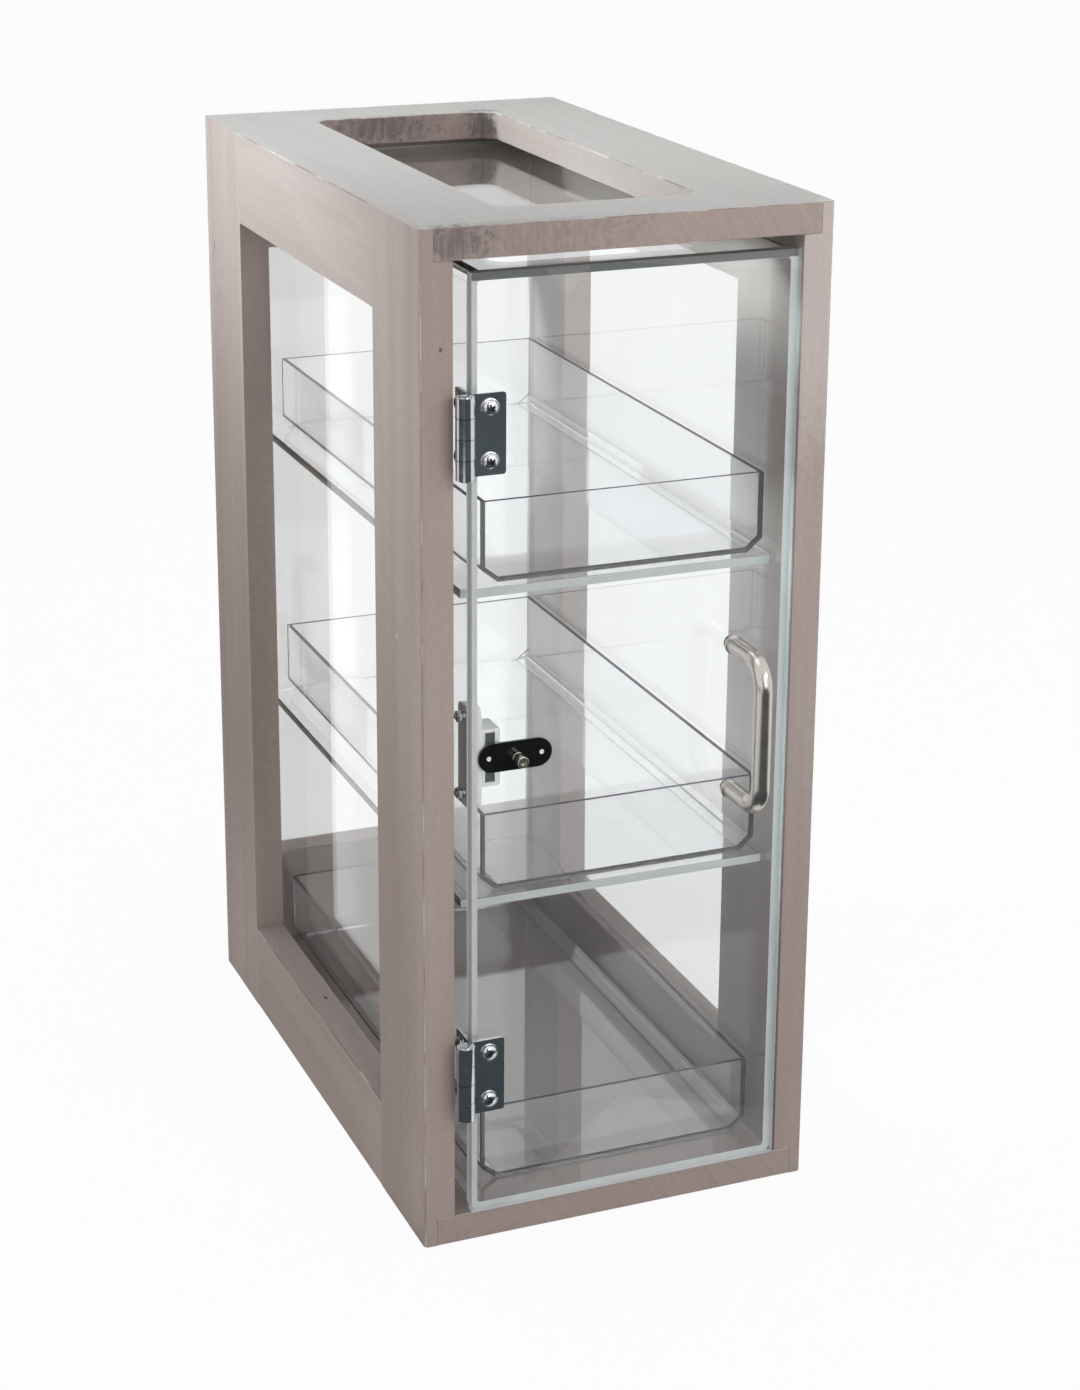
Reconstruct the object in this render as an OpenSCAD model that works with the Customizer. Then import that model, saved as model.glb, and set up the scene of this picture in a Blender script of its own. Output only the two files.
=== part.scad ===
// Tiered bread bin: a grey-washed wooden frame holding a clear acrylic case with two
// shelves, three loose clear trays, and a clear front door on two chrome butt hinges.
// Millimetres. X runs left to right, Y front to back, Z up.
// The origin is the centre of the wooden frame's footprint, on the surface it stands on.

/* [Wooden frame] */
// Outer width of the wooden frame
frame_w = 222; // [185:1:280]
// Outer depth of the wooden frame
frame_d = 375; // [310:1:460]
// Outer height of the wooden frame
frame_h = 546; // [455:1:660]
// Thickness of the two side frames
side_t = 17; // [14:0.5:24]
// Width of the upright stiles
stile_w = 70; // [50:1:90]
// Height of the rails between the stiles
rail_h = 52; // [40:1:70]
// Height of the two rails across the back
back_rail_h = 62; // [40:1:80]
// Thickness of the two rails across the back
back_rail_t = 17; // [12:0.5:24]
// Thickness of the top and bottom boards
board_t = 16; // [12:0.5:20]
// Thickness of the side frame left outside the boards
lip_t = 7; // [4:0.5:10]
// Rounding of the frame's outer upright corners
corner_r = 2.5; // [0.5:0.5:4]

/* [Top window] */
// Width of the window in the top board
window_w = 111; // [80:1:130]
// Wood left in front of the window
window_front = 43; // [30:1:60]
// Wood left behind the window
window_back = 41; // [30:1:60]
// Radius of the window's corners
window_r = 10; // [4:1:20]

/* [Frame dowels] */
// Diameter of the dowels between rails and stiles
dowel_d = 8; // [6:0.5:10]
// Length of a dowel
dowel_l = 40; // [24:1:50]
// Distance of a dowel's centre from the board's rabbet and from the rail's inner edge
dowel_edge = 9; // [6:0.5:11]

/* [Clear case] */
// Thickness of the case's acrylic sheet
sheet_t = 4.8; // [3:0.1:6]
// Outer radius of the case's bent corners
bend_r = 6.8; // [6.5:0.1:10]
// Space between the left side frame and the case
case_gap_left = 8; // [7:0.5:12]
// Space between the case and the right side frame
case_gap_right = 2; // [1:0.5:6]
// Space between the case and the top board
case_gap_top = 6; // [2:0.5:12]
// Space between the case and the rails across the back
case_gap_back = 1; // [0.5:0.5:10]
// Height from one tier's floor to the next
tier_pitch = 169; // [140:1:180]
// Distance of the shelves' front edges behind the case's front edge
shelf_setback = 13; // [6:0.5:20]

/* [Trays] */
// Height of a tray
tray_h = 43; // [30:1:52]
// Thickness of a tray's walls
tray_t = 2.4; // [1.5:0.1:3.5]
// Width of the slope along a tray's lower sides
slope_w = 8.5; // [4:0.5:14]
// Height of that slope
slope_h = 7; // [4:0.5:14]
// Clearance between a tray and the case's left wall
tray_gap_left = 10.2; // [2:0.1:14]
// Clearance between a tray and the case's right wall
tray_gap_right = 1.2; // [0.5:0.1:5]
// Distance of a tray's front behind the case's front edge
tray_setback = 20; // [8:0.5:24]
// Clearance between a tray and the case's back panel
tray_gap_back = 4; // [3:0.5:20]

/* [Door] */
// Thickness of the door panel
door_t = 6; // [4:0.1:8]
// Distance that the door's face stands out of the wooden frame
door_proud = 3.3; // [2.5:0.1:5]
// Clearance between the door and the case's front edge
door_gap = 0.3; // [0.2:0.1:2]
// Clearance between the door's left edge and the hinges' case leaves
door_gap_left = 0.3; // [0.2:0.1:2]
// Clearance beside the door's right edge
door_gap_right = 2.9; // [2:0.1:6]
// Clearance under the door
door_gap_bottom = 1.5; // [1:0.1:4]

/* [Hinges] */
// Height of a hinge
hinge_h = 41.5; // [30:0.5:60]
// Diameter of a hinge's barrel
barrel_d = 9.6; // [8:0.2:12]
// Diameter of a hinge pin
hinge_pin_d = 3.2; // [2.5:0.1:4]
// Thickness of a hinge leaf
leaf_t = 1.6; // [1:0.1:2]
// Distance of the door leaf's screws from the door's left edge
door_screw_inset = 9; // [7:0.5:12]
// Distance from the leaf's screws to its free edge
leaf_edge = 8.5; // [6:0.5:12]
// Distance between a leaf's two screws
leaf_screw_pitch = 27; // [20:0.5:34]
// Distance of each hinge's centre from the door's nearer end
hinge_inset = 80; // [40:1:120]
// Distance of the frame leaf's screws behind the case's front edge
case_screw_inset = 5.5; // [4.5:0.5:10]

/* [Magnetic catch] */
// Width of the catch from the case's wall
catch_w = 13.2; // [10:0.1:18]
// Depth of the catch
catch_d = 15; // [10:0.5:20]
// Height of the catch's magnet housing
catch_h = 31; // [24:1:40]
// Height of the catch over its two ears
catch_ear_h = 54; // [44:1:64]
// Thickness of the ears
catch_ear_t = 3; // [2:0.1:4]
// Height of the catch's centre above the middle tier's floor
catch_rise = 82.5; // [70:0.5:95]
// Length of the strike plate
strike_l = 40; // [30:1:50]
// Height of the strike plate
strike_h = 15.5; // [12:0.5:20]
// Thickness of the strike plate
strike_t = 1.5; // [1.4:0.1:2]
// Length of the round post in front of the strike plate
post_l = 7.5; // [5:0.5:10]
// Diameter of that post
post_d = 6.2; // [5:0.1:8]

/* [Handle] */
// Diameter of the handle's rod
handle_d = 9.6; // [8:0.2:12]
// Distance between the handle's two legs
handle_pitch = 80; // [64:1:110]
// Distance from the door to the middle of the grip
handle_reach = 35.5; // [28:0.5:50]
// Radius of the handle's bends
handle_bend_r = 14; // [8:0.5:16]
// Distance of the handle from the right side frame
handle_inset = 35; // [20:0.5:60]
// Height of the handle's centre above the middle tier's floor
handle_rise = 88.5; // [86:0.5:120]
// Thickness of the collars under the legs
collar_t = 1.6; // [1:0.1:3]

/* [Screws] */
// Diameter of the screws' shanks
screw_d = 4; // [3:0.1:4.5]
// Diameter of the hinge screws' heads
screw_head_d = 9.4; // [7:0.1:10]
// Height of the hinge screws' heads
screw_head_h = 2.6; // [1.5:0.1:3]
// Diameter of the catch's screws
small_screw_d = 3; // [2.5:0.1:3.5]
// Diameter of the catch screws' heads
small_head_d = 5.6; // [4:0.1:6]
// Height of the catch screws' heads
small_head_h = 1.8; // [1:0.1:2.5]
// Width across the flats of the catch screws' nuts
nut_w = 5.5; // [5:0.1:7]
// Thickness of those nuts
nut_t = 2.4; // [1.5:0.1:3]

/* [Hidden] */
$fn = 48;

// Fits between screws, pins and their holes, measured on the diameter
pin_fit = 0.1;
hole_fit = 0.2;
// Gap that a cut runs past the face it opens
over = 1;

// Wooden frame
front_y = -frame_d / 2;
back_y = frame_d / 2;
open_l = -frame_w / 2 + side_t;
open_r = frame_w / 2 - side_t;
rail_l = frame_d - 2 * stile_w;
board_w = frame_w - 2 * lip_t;
window_l = frame_d - window_front - window_back;
dowel_x = (frame_w - side_t) / 2;

// Door panel
door_front = front_y - door_proud;
door_back = door_front + door_t;

// Clear case
case_l = open_l + case_gap_left;
case_r = open_r - case_gap_right;
case_in_l = case_l + sheet_t;
case_in_r = case_r - sheet_t;
case_bottom = board_t;
case_top = frame_h - board_t - case_gap_top;
case_front = door_back + door_gap;
case_rear = back_y - back_rail_t - case_gap_back;
tier_z = [for (k = [0:2]) case_bottom + sheet_t + k * tier_pitch];
shelf_front = case_front + shelf_setback;
shelf_d = case_rear - sheet_t - shelf_front;

// Trays
tray_l = case_in_l + tray_gap_left;
tray_w = case_in_r - tray_gap_right - tray_l;
tray_front = case_front + tray_setback;
tray_d = case_rear - sheet_t - tray_gap_back - tray_front;

// Door edges follow the opening and the case
door_l = case_l + door_gap_left;
door_r = open_r - door_gap_right;
door_bottom = board_t + door_gap_bottom;
door_top = case_top;

// Hinges: the pin's axis lies in front of the door's face and left of the case's wall
barrel_r = barrel_d / 2;
hinge_x = case_l - barrel_r;
hinge_y = door_front - barrel_r;
knuckles = 4;
knuckle_gap = 0.3;
knuckle_h = (hinge_h - (knuckles - 1) * knuckle_gap) / knuckles;
leaf_corner_r = 1.6;
door_screw_x = door_l + door_screw_inset;
leaf_reach = door_screw_x + leaf_edge - hinge_x;
case_screw_y = case_front + case_screw_inset;
pin_head_d = 6.4;
pin_head_h = 0.8;
hinge_z = [door_bottom + hinge_inset, door_top - hinge_inset];
screw_z = [for (z = hinge_z) for (s = [-1, 1]) z + s * leaf_screw_pitch / 2];
screw_tip = 1;

// Catch and strike
catch_z = tier_z[1] + catch_rise;
catch_front = door_back + strike_t + 0.3;
catch_ear_r = 4;
catch_screw_z = [for (s = [-1, 1]) catch_z + s * (catch_h + catch_ear_h) / 4];
catch_screw_y = catch_front + catch_d / 2;
catch_slot_l = 5.5;
pocket_w = 7.8;
pocket_h = 27;
pocket_d = 10;
pole_t = 1.3;
magnet_setback = 1.2;
pocket_x = case_in_l + catch_w - 1.8 - pocket_w / 2;
strike_gap_left = 0.7;
strike_x = case_in_l + strike_gap_left + strike_l / 2;
dimple_pitch = 28.8;
dimple_d = 3.6;
dimple_depth = 0.5;
post_hole_l = 6;
countersink_d = 6.8;
countersink_h = 1.3;

// Handle
handle_x = open_r - handle_inset;
handle_z = tier_z[1] + handle_rise;
handle_y = door_front - handle_reach;
leg_hole_l = 11;
leg_groove_d = 0.8;
leg_groove_w = 0.7;
leg_groove_at = 1.4;
collar_d = handle_d + 0.8;

// Colours
wood = [0.66, 0.62, 0.59];
clear = [0.85, 0.92, 0.93, 0.35];
tint = [0.6, 0.58, 0.7, 0.4];
chrome = [0.8, 0.81, 0.83];
satin = [0.62, 0.58, 0.54];
white = [0.93, 0.93, 0.91];
black = [0.12, 0.12, 0.13];

// ---------- shared shapes ----------

// A block between two corners
module block(low, high) {
  translate(low) cube(high - low);
}

// A rounded rectangle, centred, in the XY plane
module round_rect(w, h, r) {
  for (s = [-1, 1]) {
    translate([s * (w / 2 - r), 0]) for (t = [-1, 1]) translate([0, t * (h / 2 - r)]) circle(r);
  }
  square([w - 2 * r, h], center = true);
  square([w, h - 2 * r], center = true);
}

// A cylinder along +Y from a point
module rod_y(at, d, l) {
  translate(at) rotate([-90, 0, 0]) cylinder(d = d, h = l);
}

// A cylinder along +X from a point
module rod_x(at, d, l) {
  translate(at) rotate([0, 90, 0]) cylinder(d = d, h = l);
}

// A pan head, flat side at z = 0 and dome upwards, with a cross recess
module pan_head(d, h) {
  dome_r = (d * d / 4 + h * h / 4) / h;
  recess_w = d * 0.14;
  recess_l = d * 0.56;
  recess_depth = h * 0.45;
  difference() {
    intersection() {
      cylinder(d = d, h = h);
      translate([0, 0, h - dome_r - h * 0.15]) sphere(dome_r + h * 0.15);
    }
    for (a = [0, 90]) rotate([0, 0, a + 20]) {
      translate([-recess_l / 2, -recess_w / 2, h - recess_depth]) cube([recess_l, recess_w, h]);
    }
  }
}

// A pan-head screw: head on z = 0, shank going down
module pan_screw(d, l, head_d, head_h) {
  pan_head(head_d, head_h);
  translate([0, 0, -l]) cylinder(d = d, h = l + head_h * 0.3);
}

// A hexagon nut standing on z = 0, two flats facing +X and -X
module hex_nut(w, t, hole_d) {
  difference() {
    rotate([0, 0, 30]) cylinder(d = w / cos(30), h = t, $fn = 6);
    translate([0, 0, -over]) cylinder(d = hole_d, h = t + 2 * over);
  }
}

// ---------- wooden frame ----------

// Which side a piece is on: -1 is left, 1 is right
module on_side(s) {
  if (s < 0) mirror([1, 0, 0]) children();
  else children();
}

// The space that the top and bottom boards take out of the right side frame
module board_rabbets() {
  inner_x = frame_w / 2 - side_t - over;
  lip_x = frame_w / 2 - lip_t;
  block([inner_x, front_y - over, -over], [lip_x, back_y + over, board_t]);
  block([inner_x, front_y - over, frame_h - board_t], [lip_x, back_y + over, frame_h + over]);
}

// Dowel centres at the rail ends of one side: [height, y of the joint]
dowel_places = [
  for (z = [board_t + dowel_edge, rail_h - dowel_edge])
    for (height = [z, frame_h - z])
      for (y = [-rail_l / 2, rail_l / 2]) [height, y]
];

module side_dowels(d) {
  for (p = dowel_places) rod_y([dowel_x, p[1] - dowel_l / 2, p[0]], d, dowel_l);
}

// An upright stile; e is -1 at the front and 1 at the back
module stile(s, e) {
  color(wood) on_side(s) difference() {
    translate([frame_w / 2 - side_t, e < 0 ? front_y : back_y - stile_w, 0])
      linear_extrude(frame_h) difference() {
        square([side_t, stile_w]);
        translate([side_t, e < 0 ? 0 : stile_w]) difference() {
          square(2 * corner_r, center = true);
          translate([-corner_r, -e * corner_r]) circle(corner_r);
        }
      }
    board_rabbets();
    side_dowels(dowel_d + pin_fit);
  }
}

// A rail between the stiles, with its lower edge at z
module rail(s, z) {
  color(wood) on_side(s) difference() {
    block([frame_w / 2 - side_t, -rail_l / 2, z], [frame_w / 2, rail_l / 2, z + rail_h]);
    board_rabbets();
    side_dowels(dowel_d + pin_fit);
  }
}

module left_front_stile() { stile(-1, -1); }
module left_back_stile() { stile(-1, 1); }
module left_top_rail() { rail(-1, frame_h - rail_h); }
module left_bottom_rail() { rail(-1, 0); }
module right_front_stile() { stile(1, -1); }
module right_back_stile() { stile(1, 1); }
module right_top_rail() { rail(1, frame_h - rail_h); }
module right_bottom_rail() { rail(1, 0); }

module top_board() {
  color(wood) difference() {
    block([-board_w / 2, front_y, frame_h - board_t], [board_w / 2, back_y, frame_h]);
    translate([0, (window_front - window_back) / 2, frame_h - board_t - over])
      linear_extrude(board_t + 2 * over) round_rect(window_w, window_l, window_r);
  }
}

module bottom_board() {
  color(wood) block([-board_w / 2, front_y, 0], [board_w / 2, back_y, board_t]);
}

// A rail across the back, between the side frames, with its lower edge at z
module back_rail(z) {
  color(wood) block([open_l, back_y - back_rail_t, z], [open_r, back_y, z + back_rail_h]);
}

module back_top_rail() { back_rail(frame_h - board_t - back_rail_h); }
module back_bottom_rail() { back_rail(board_t); }

module frame_dowels() {
  color("burlywood") for (s = [-1, 1]) on_side(s) side_dowels(dowel_d);
}

// ---------- clear case ----------

// The case's outline seen from the front, in the XY plane
module case_outline(inset, r) {
  w = case_r - case_l - 2 * inset;
  h = case_top - case_bottom - 2 * inset;
  translate([(case_l + case_r) / 2, (case_top + case_bottom) / 2]) round_rect(w, h, r);
}

// Stands an outline up, so that it runs from y0 to y1
module along_y(y0, y1) {
  translate([0, y1, 0]) rotate([90, 0, 0]) linear_extrude(y1 - y0) children();
}

// One bent sheet forms the left wall, top, right wall and floor
module case_wrap() {
  color(clear) difference() {
    along_y(case_front, case_rear) case_outline(0, bend_r);
    along_y(case_front - over, case_rear + over) case_outline(sheet_t, bend_r - sheet_t);
    for (z = screw_z) rod_x([case_l - over, case_screw_y, z], screw_d + hole_fit, sheet_t + 2 * over);
    for (z = catch_screw_z)
      rod_x([case_l - over, catch_screw_y, z], small_screw_d + hole_fit, sheet_t + 2 * over);
  }
}

module case_back() {
  color(clear) along_y(case_rear - sheet_t, case_rear) case_outline(sheet_t, bend_r - sheet_t);
}

module shelf(tier) {
  color(clear) translate([case_in_l, shelf_front, tier_z[tier] - sheet_t])
    cube([case_in_r - case_in_l, shelf_d, sheet_t]);
}

module upper_shelf() { shelf(2); }
module lower_shelf() { shelf(1); }

// ---------- trays ----------

// A tray's section seen from the front, grown inwards by inset
module tray_outline(inset) {
  step = inset * (sqrt(pow(slope_w, 2) + pow(slope_h, 2)) - slope_w) / slope_h;
  rise = inset * (sqrt(pow(slope_w, 2) + pow(slope_h, 2)) - slope_h) / slope_w;
  polygon([
    [inset, tray_h],
    [inset, slope_h + rise],
    [slope_w + step, inset],
    [tray_w - slope_w - step, inset],
    [tray_w - inset, slope_h + rise],
    [tray_w - inset, tray_h]
  ]);
}

// The folded sheet between a tray's two ends
module tray_trough(tier) {
  y0 = tray_front + tray_t;
  y1 = tray_front + tray_d - tray_t;
  color(tint) translate([tray_l, 0, tier_z[tier]]) difference() {
    along_y(y0, y1) tray_outline(0);
    along_y(y0 - over, y1 + over) union() {
      tray_outline(tray_t);
      translate([tray_t, tray_h - over]) square([tray_w - 2 * tray_t, 2 * over]);
    }
  }
}

module tray_ends(tier) {
  color(tint) translate([tray_l, 0, tier_z[tier]])
    for (y = [tray_front, tray_front + tray_d - tray_t]) along_y(y, y + tray_t) tray_outline(0);
}

module upper_tray_trough() { tray_trough(2); }
module upper_tray_ends() { tray_ends(2); }
module middle_tray_trough() { tray_trough(1); }
module middle_tray_ends() { tray_ends(1); }
module lower_tray_trough() { tray_trough(0); }
module lower_tray_ends() { tray_ends(0); }

// ---------- door ----------

leg_z = [for (s = [-1, 1]) handle_z + s * handle_pitch / 2];

module door_panel() {
  hole_y = door_front - over;
  hole_l = door_t + 2 * over;
  color(clear) difference() {
    block([door_l, door_front, door_bottom], [door_r, door_back, door_top]);
    for (z = screw_z) rod_y([door_screw_x, hole_y, z], screw_d + hole_fit, hole_l);
    for (z = leg_z) rod_y([handle_x, hole_y, z], screw_d + hole_fit, hole_l);
    rod_y([strike_x, hole_y, catch_z], screw_d + hole_fit, hole_l);
  }
}

// ---------- hinges ----------

// One knuckle, counted from 0 at the top
module knuckle(z, k) {
  top = z + hinge_h / 2 - k * (knuckle_h + knuckle_gap);
  translate([hinge_x, hinge_y, top - knuckle_h]) cylinder(d = barrel_d, h = knuckle_h);
}

// A flat leaf lying in the XZ plane: free edge at x = leaf_reach, mounting face at y = 0
module leaf_plate(first, screw_at) {
  inner_x = barrel_r + knuckle_gap;
  difference() {
    union() {
      translate([(inner_x + leaf_reach) / 2, 0, 0]) rotate([90, 0, 0]) linear_extrude(leaf_t)
        round_rect(leaf_reach - inner_x, hinge_h, leaf_corner_r);
      for (k = [first:2:knuckles - 1]) {
        top = hinge_h / 2 - k * (knuckle_h + knuckle_gap);
        block([0, -leaf_t, top - knuckle_h], [inner_x + 2 * leaf_corner_r, 0, top]);
      }
    }
    for (s = [-1, 1])
      rod_y([screw_at, -leaf_t - over, s * leaf_screw_pitch / 2], screw_d + hole_fit, leaf_t + 2 * over);
  }
}

module pin_bore(z) {
  translate([hinge_x, hinge_y, z - hinge_h / 2 - over])
    cylinder(d = hinge_pin_d + pin_fit, h = hinge_h + 2 * over);
}

module door_leaf(z) {
  color(chrome) difference() {
    union() {
      translate([hinge_x, door_front, z]) leaf_plate(1, door_screw_x - hinge_x);
      for (k = [1, 3]) knuckle(z, k);
    }
    pin_bore(z);
  }
}

module case_leaf(z) {
  color(chrome) difference() {
    union() {
      translate([case_l, hinge_y, z]) mirror([1, -1, 0]) leaf_plate(0, case_screw_y - hinge_y);
      for (k = [0, 2]) knuckle(z, k);
    }
    pin_bore(z);
  }
}

module hinge_pin(z) {
  low = z - hinge_h / 2 - knuckle_gap;
  high = z + hinge_h / 2;
  color(chrome) {
    translate([hinge_x, hinge_y, low - pin_head_h]) cylinder(d = pin_head_d, h = pin_head_h);
    translate([hinge_x, hinge_y, low - pin_head_h / 2])
      cylinder(d = hinge_pin_d, h = high - low + pin_head_h);
    translate([hinge_x, hinge_y, high]) cylinder(d = pin_head_d, h = pin_head_h);
  }
}

module upper_hinge_case_leaf() { case_leaf(hinge_z[1]); }
module upper_hinge_door_leaf() { door_leaf(hinge_z[1]); }
module upper_hinge_pin() { hinge_pin(hinge_z[1]); }
module lower_hinge_case_leaf() { case_leaf(hinge_z[0]); }
module lower_hinge_door_leaf() { door_leaf(hinge_z[0]); }
module lower_hinge_pin() { hinge_pin(hinge_z[0]); }

// The hinge screws are tapped into the acrylic and end flush with its far face
module hinge_door_screws() {
  color(chrome) for (z = screw_z)
    translate([door_screw_x, door_front - leaf_t, z]) rotate([90, 0, 0])
      pan_screw(screw_d, leaf_t + door_t, screw_head_d, screw_head_h);
}

module hinge_case_screws() {
  color(chrome) for (z = screw_z)
    translate([case_l - leaf_t, case_screw_y, z]) rotate([0, -90, 0])
      pan_screw(screw_d, leaf_t + sheet_t, screw_head_d, screw_head_h);
}

// ---------- magnetic catch ----------

module catch_body() {
  color(white) difference() {
    union() {
      translate([case_in_l, catch_screw_y, catch_z]) rotate([0, 90, 0])
        linear_extrude(catch_ear_t) round_rect(catch_ear_h, catch_d, catch_ear_r);
      block([case_in_l, catch_front, catch_z - catch_h / 2],
            [case_in_l + catch_w, catch_front + catch_d, catch_z + catch_h / 2]);
    }
    block([pocket_x - pocket_w / 2, catch_front - over, catch_z - pocket_h / 2],
          [pocket_x + pocket_w / 2, catch_front + pocket_d, catch_z + pocket_h / 2]);
    for (z = catch_screw_z) translate([case_in_l - over, catch_screw_y, z]) rotate([0, 90, 0])
      linear_extrude(catch_ear_t + 2 * over) round_rect(small_screw_d + hole_fit, catch_slot_l,
        (small_screw_d + hole_fit) / 2 - 0.01);
  }
}

// The magnet sits between two steel pole plates that face the strike
module catch_magnet() {
  half = pocket_w / 2 - pole_t;
  color(black) block([pocket_x - half, catch_front + magnet_setback, catch_z - pocket_h / 2],
                     [pocket_x + half, catch_front + pocket_d, catch_z + pocket_h / 2]);
}

module catch_pole_plates() {
  half = pocket_w / 2 - pole_t;
  color([0.35, 0.35, 0.37]) for (s = [-1, 1])
    translate([pocket_x + s * (half + pole_t / 2), 0, catch_z])
      block([-pole_t / 2, catch_front, -pocket_h / 2],
            [pole_t / 2, catch_front + pocket_d, pocket_h / 2]);
}

module catch_screws() {
  color(chrome) for (z = catch_screw_z)
    translate([case_in_l + catch_ear_t, catch_screw_y, z]) rotate([0, 90, 0])
      pan_screw(small_screw_d, catch_ear_t + sheet_t + nut_t + screw_tip, small_head_d, small_head_h);
}

module catch_nuts() {
  color(chrome) for (z = catch_screw_z)
    translate([case_l, catch_screw_y, z]) rotate([0, -90, 0])
      hex_nut(nut_w, nut_t, small_screw_d + pin_fit);
}

module strike_plate() {
  back = door_back + strike_t;
  color(black) difference() {
    translate([strike_x, back, catch_z]) rotate([90, 0, 0]) linear_extrude(strike_t)
      round_rect(strike_l, strike_h, strike_h / 2 - 0.01);
    for (s = [-1, 1])
      rod_y([strike_x + s * dimple_pitch / 2, back - dimple_depth, catch_z], dimple_d, over);
    rod_y([strike_x, door_back - over, catch_z], screw_d + hole_fit, strike_t + 2 * over);
    translate([strike_x, back, catch_z]) rotate([90, 0, 0])
      cylinder(d1 = countersink_d + hole_fit, d2 = screw_d + hole_fit, h = countersink_h);
  }
}

module strike_screw() {
  back = door_back + strike_t;
  tip = door_front - post_hole_l + screw_tip;
  color(chrome) {
    rod_y([strike_x, tip, catch_z], screw_d, back - tip - countersink_h / 2);
    translate([strike_x, back, catch_z]) rotate([90, 0, 0])
      cylinder(d1 = countersink_d, d2 = screw_d, h = countersink_h);
  }
}

// The round post nut that shows in front of the door
module strike_post() {
  edge = 0.6;
  color(chrome) difference() {
    union() {
      rod_y([strike_x, door_front - post_l + edge, catch_z], post_d, post_l - edge);
      translate([strike_x, door_front - post_l + edge, catch_z]) rotate([90, 0, 0])
        cylinder(d1 = post_d, d2 = post_d - 2 * edge, h = edge);
    }
    rod_y([strike_x, door_front - post_hole_l, catch_z], screw_d + pin_fit, post_hole_l + over);
  }
}

// ---------- handle ----------

// The grip's upper half, the upper bend and the upper leg, with the handle's centre at z = 0
module handle_half() {
  grip_h = handle_pitch / 2 - handle_bend_r;
  bend_y = handle_y + handle_bend_r;
  translate([0, handle_y, 0]) cylinder(d = handle_d, h = grip_h);
  translate([0, bend_y, grip_h]) rotate([90, 0, -90])
    rotate_extrude(angle = 90) translate([handle_bend_r, 0]) circle(d = handle_d);
  rod_y([0, bend_y, handle_pitch / 2], handle_d, door_front - collar_t - bend_y);
}

module door_handle() {
  leg_end = door_front - collar_t;
  groove_y = leg_end - leg_groove_at - leg_groove_w;
  color(satin) difference() {
    for (a = [0, 180]) translate([handle_x, 0, handle_z]) rotate([0, a, 0]) handle_half();
    for (z = leg_z) {
      rod_y([handle_x, leg_end - leg_hole_l, z], screw_d + pin_fit, leg_hole_l + over);
      difference() {
        rod_y([handle_x, groove_y, z], handle_d + over, leg_groove_w);
        rod_y([handle_x, groove_y - over, z], handle_d - leg_groove_d, leg_groove_w + 2 * over);
      }
    }
  }
}

module handle_collars() {
  color(satin) for (z = leg_z) difference() {
    rod_y([handle_x, door_front - collar_t, z], collar_d, collar_t);
    rod_y([handle_x, door_front - collar_t - over, z], screw_d + hole_fit, collar_t + 2 * over);
  }
}

module handle_screws() {
  handle_head_d = 7.6;
  color(chrome) for (z = leg_z)
    translate([handle_x, door_back, z]) rotate([-90, 0, 0])
      pan_screw(screw_d, door_t + collar_t + leg_hole_l - screw_tip, handle_head_d, 2.2);
}

left_front_stile();
left_back_stile();
left_top_rail();
left_bottom_rail();
right_front_stile();
right_back_stile();
right_top_rail();
right_bottom_rail();
top_board();
bottom_board();
back_top_rail();
back_bottom_rail();
frame_dowels();
case_wrap();
case_back();
upper_shelf();
lower_shelf();
upper_tray_trough();
upper_tray_ends();
middle_tray_trough();
middle_tray_ends();
lower_tray_trough();
lower_tray_ends();
door_panel();
door_handle();
handle_collars();
handle_screws();
upper_hinge_case_leaf();
upper_hinge_door_leaf();
upper_hinge_pin();
lower_hinge_case_leaf();
lower_hinge_door_leaf();
lower_hinge_pin();
hinge_door_screws();
hinge_case_screws();
catch_body();
catch_magnet();
catch_pole_plates();
catch_screws();
catch_nuts();
strike_plate();
strike_screw();
strike_post();
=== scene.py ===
import math

import bpy
from bpy.props import FloatProperty, FloatVectorProperty, IntProperty, PointerProperty
from mathutils import Matrix, Vector


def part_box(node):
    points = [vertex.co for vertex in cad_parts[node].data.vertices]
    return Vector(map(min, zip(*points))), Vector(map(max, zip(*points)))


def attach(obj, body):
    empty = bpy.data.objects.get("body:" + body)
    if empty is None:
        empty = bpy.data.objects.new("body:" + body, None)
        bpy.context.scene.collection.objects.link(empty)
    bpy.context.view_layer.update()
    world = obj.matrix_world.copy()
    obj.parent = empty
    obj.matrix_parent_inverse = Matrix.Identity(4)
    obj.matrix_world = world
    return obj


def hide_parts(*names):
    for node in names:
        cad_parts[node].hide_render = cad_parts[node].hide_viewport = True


bl_info = {
    "name": "Tiered bread bin",
    "version": (1, 0, 0),
    "blender": (4, 5, 0),
    "location": "3D View > Sidebar > Bread Bin",
    "description": "Builds the looks of a wooden bread bin with a clear case, trays and a hinged door",
    "category": "Mesh",
}

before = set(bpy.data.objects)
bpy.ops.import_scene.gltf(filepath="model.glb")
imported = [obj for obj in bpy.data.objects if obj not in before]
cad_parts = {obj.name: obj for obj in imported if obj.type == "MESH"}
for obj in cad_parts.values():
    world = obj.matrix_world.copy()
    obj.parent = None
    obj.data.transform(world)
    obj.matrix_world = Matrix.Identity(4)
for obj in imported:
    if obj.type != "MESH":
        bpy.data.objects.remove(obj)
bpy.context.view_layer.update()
BOX = {name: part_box(name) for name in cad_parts}

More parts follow.
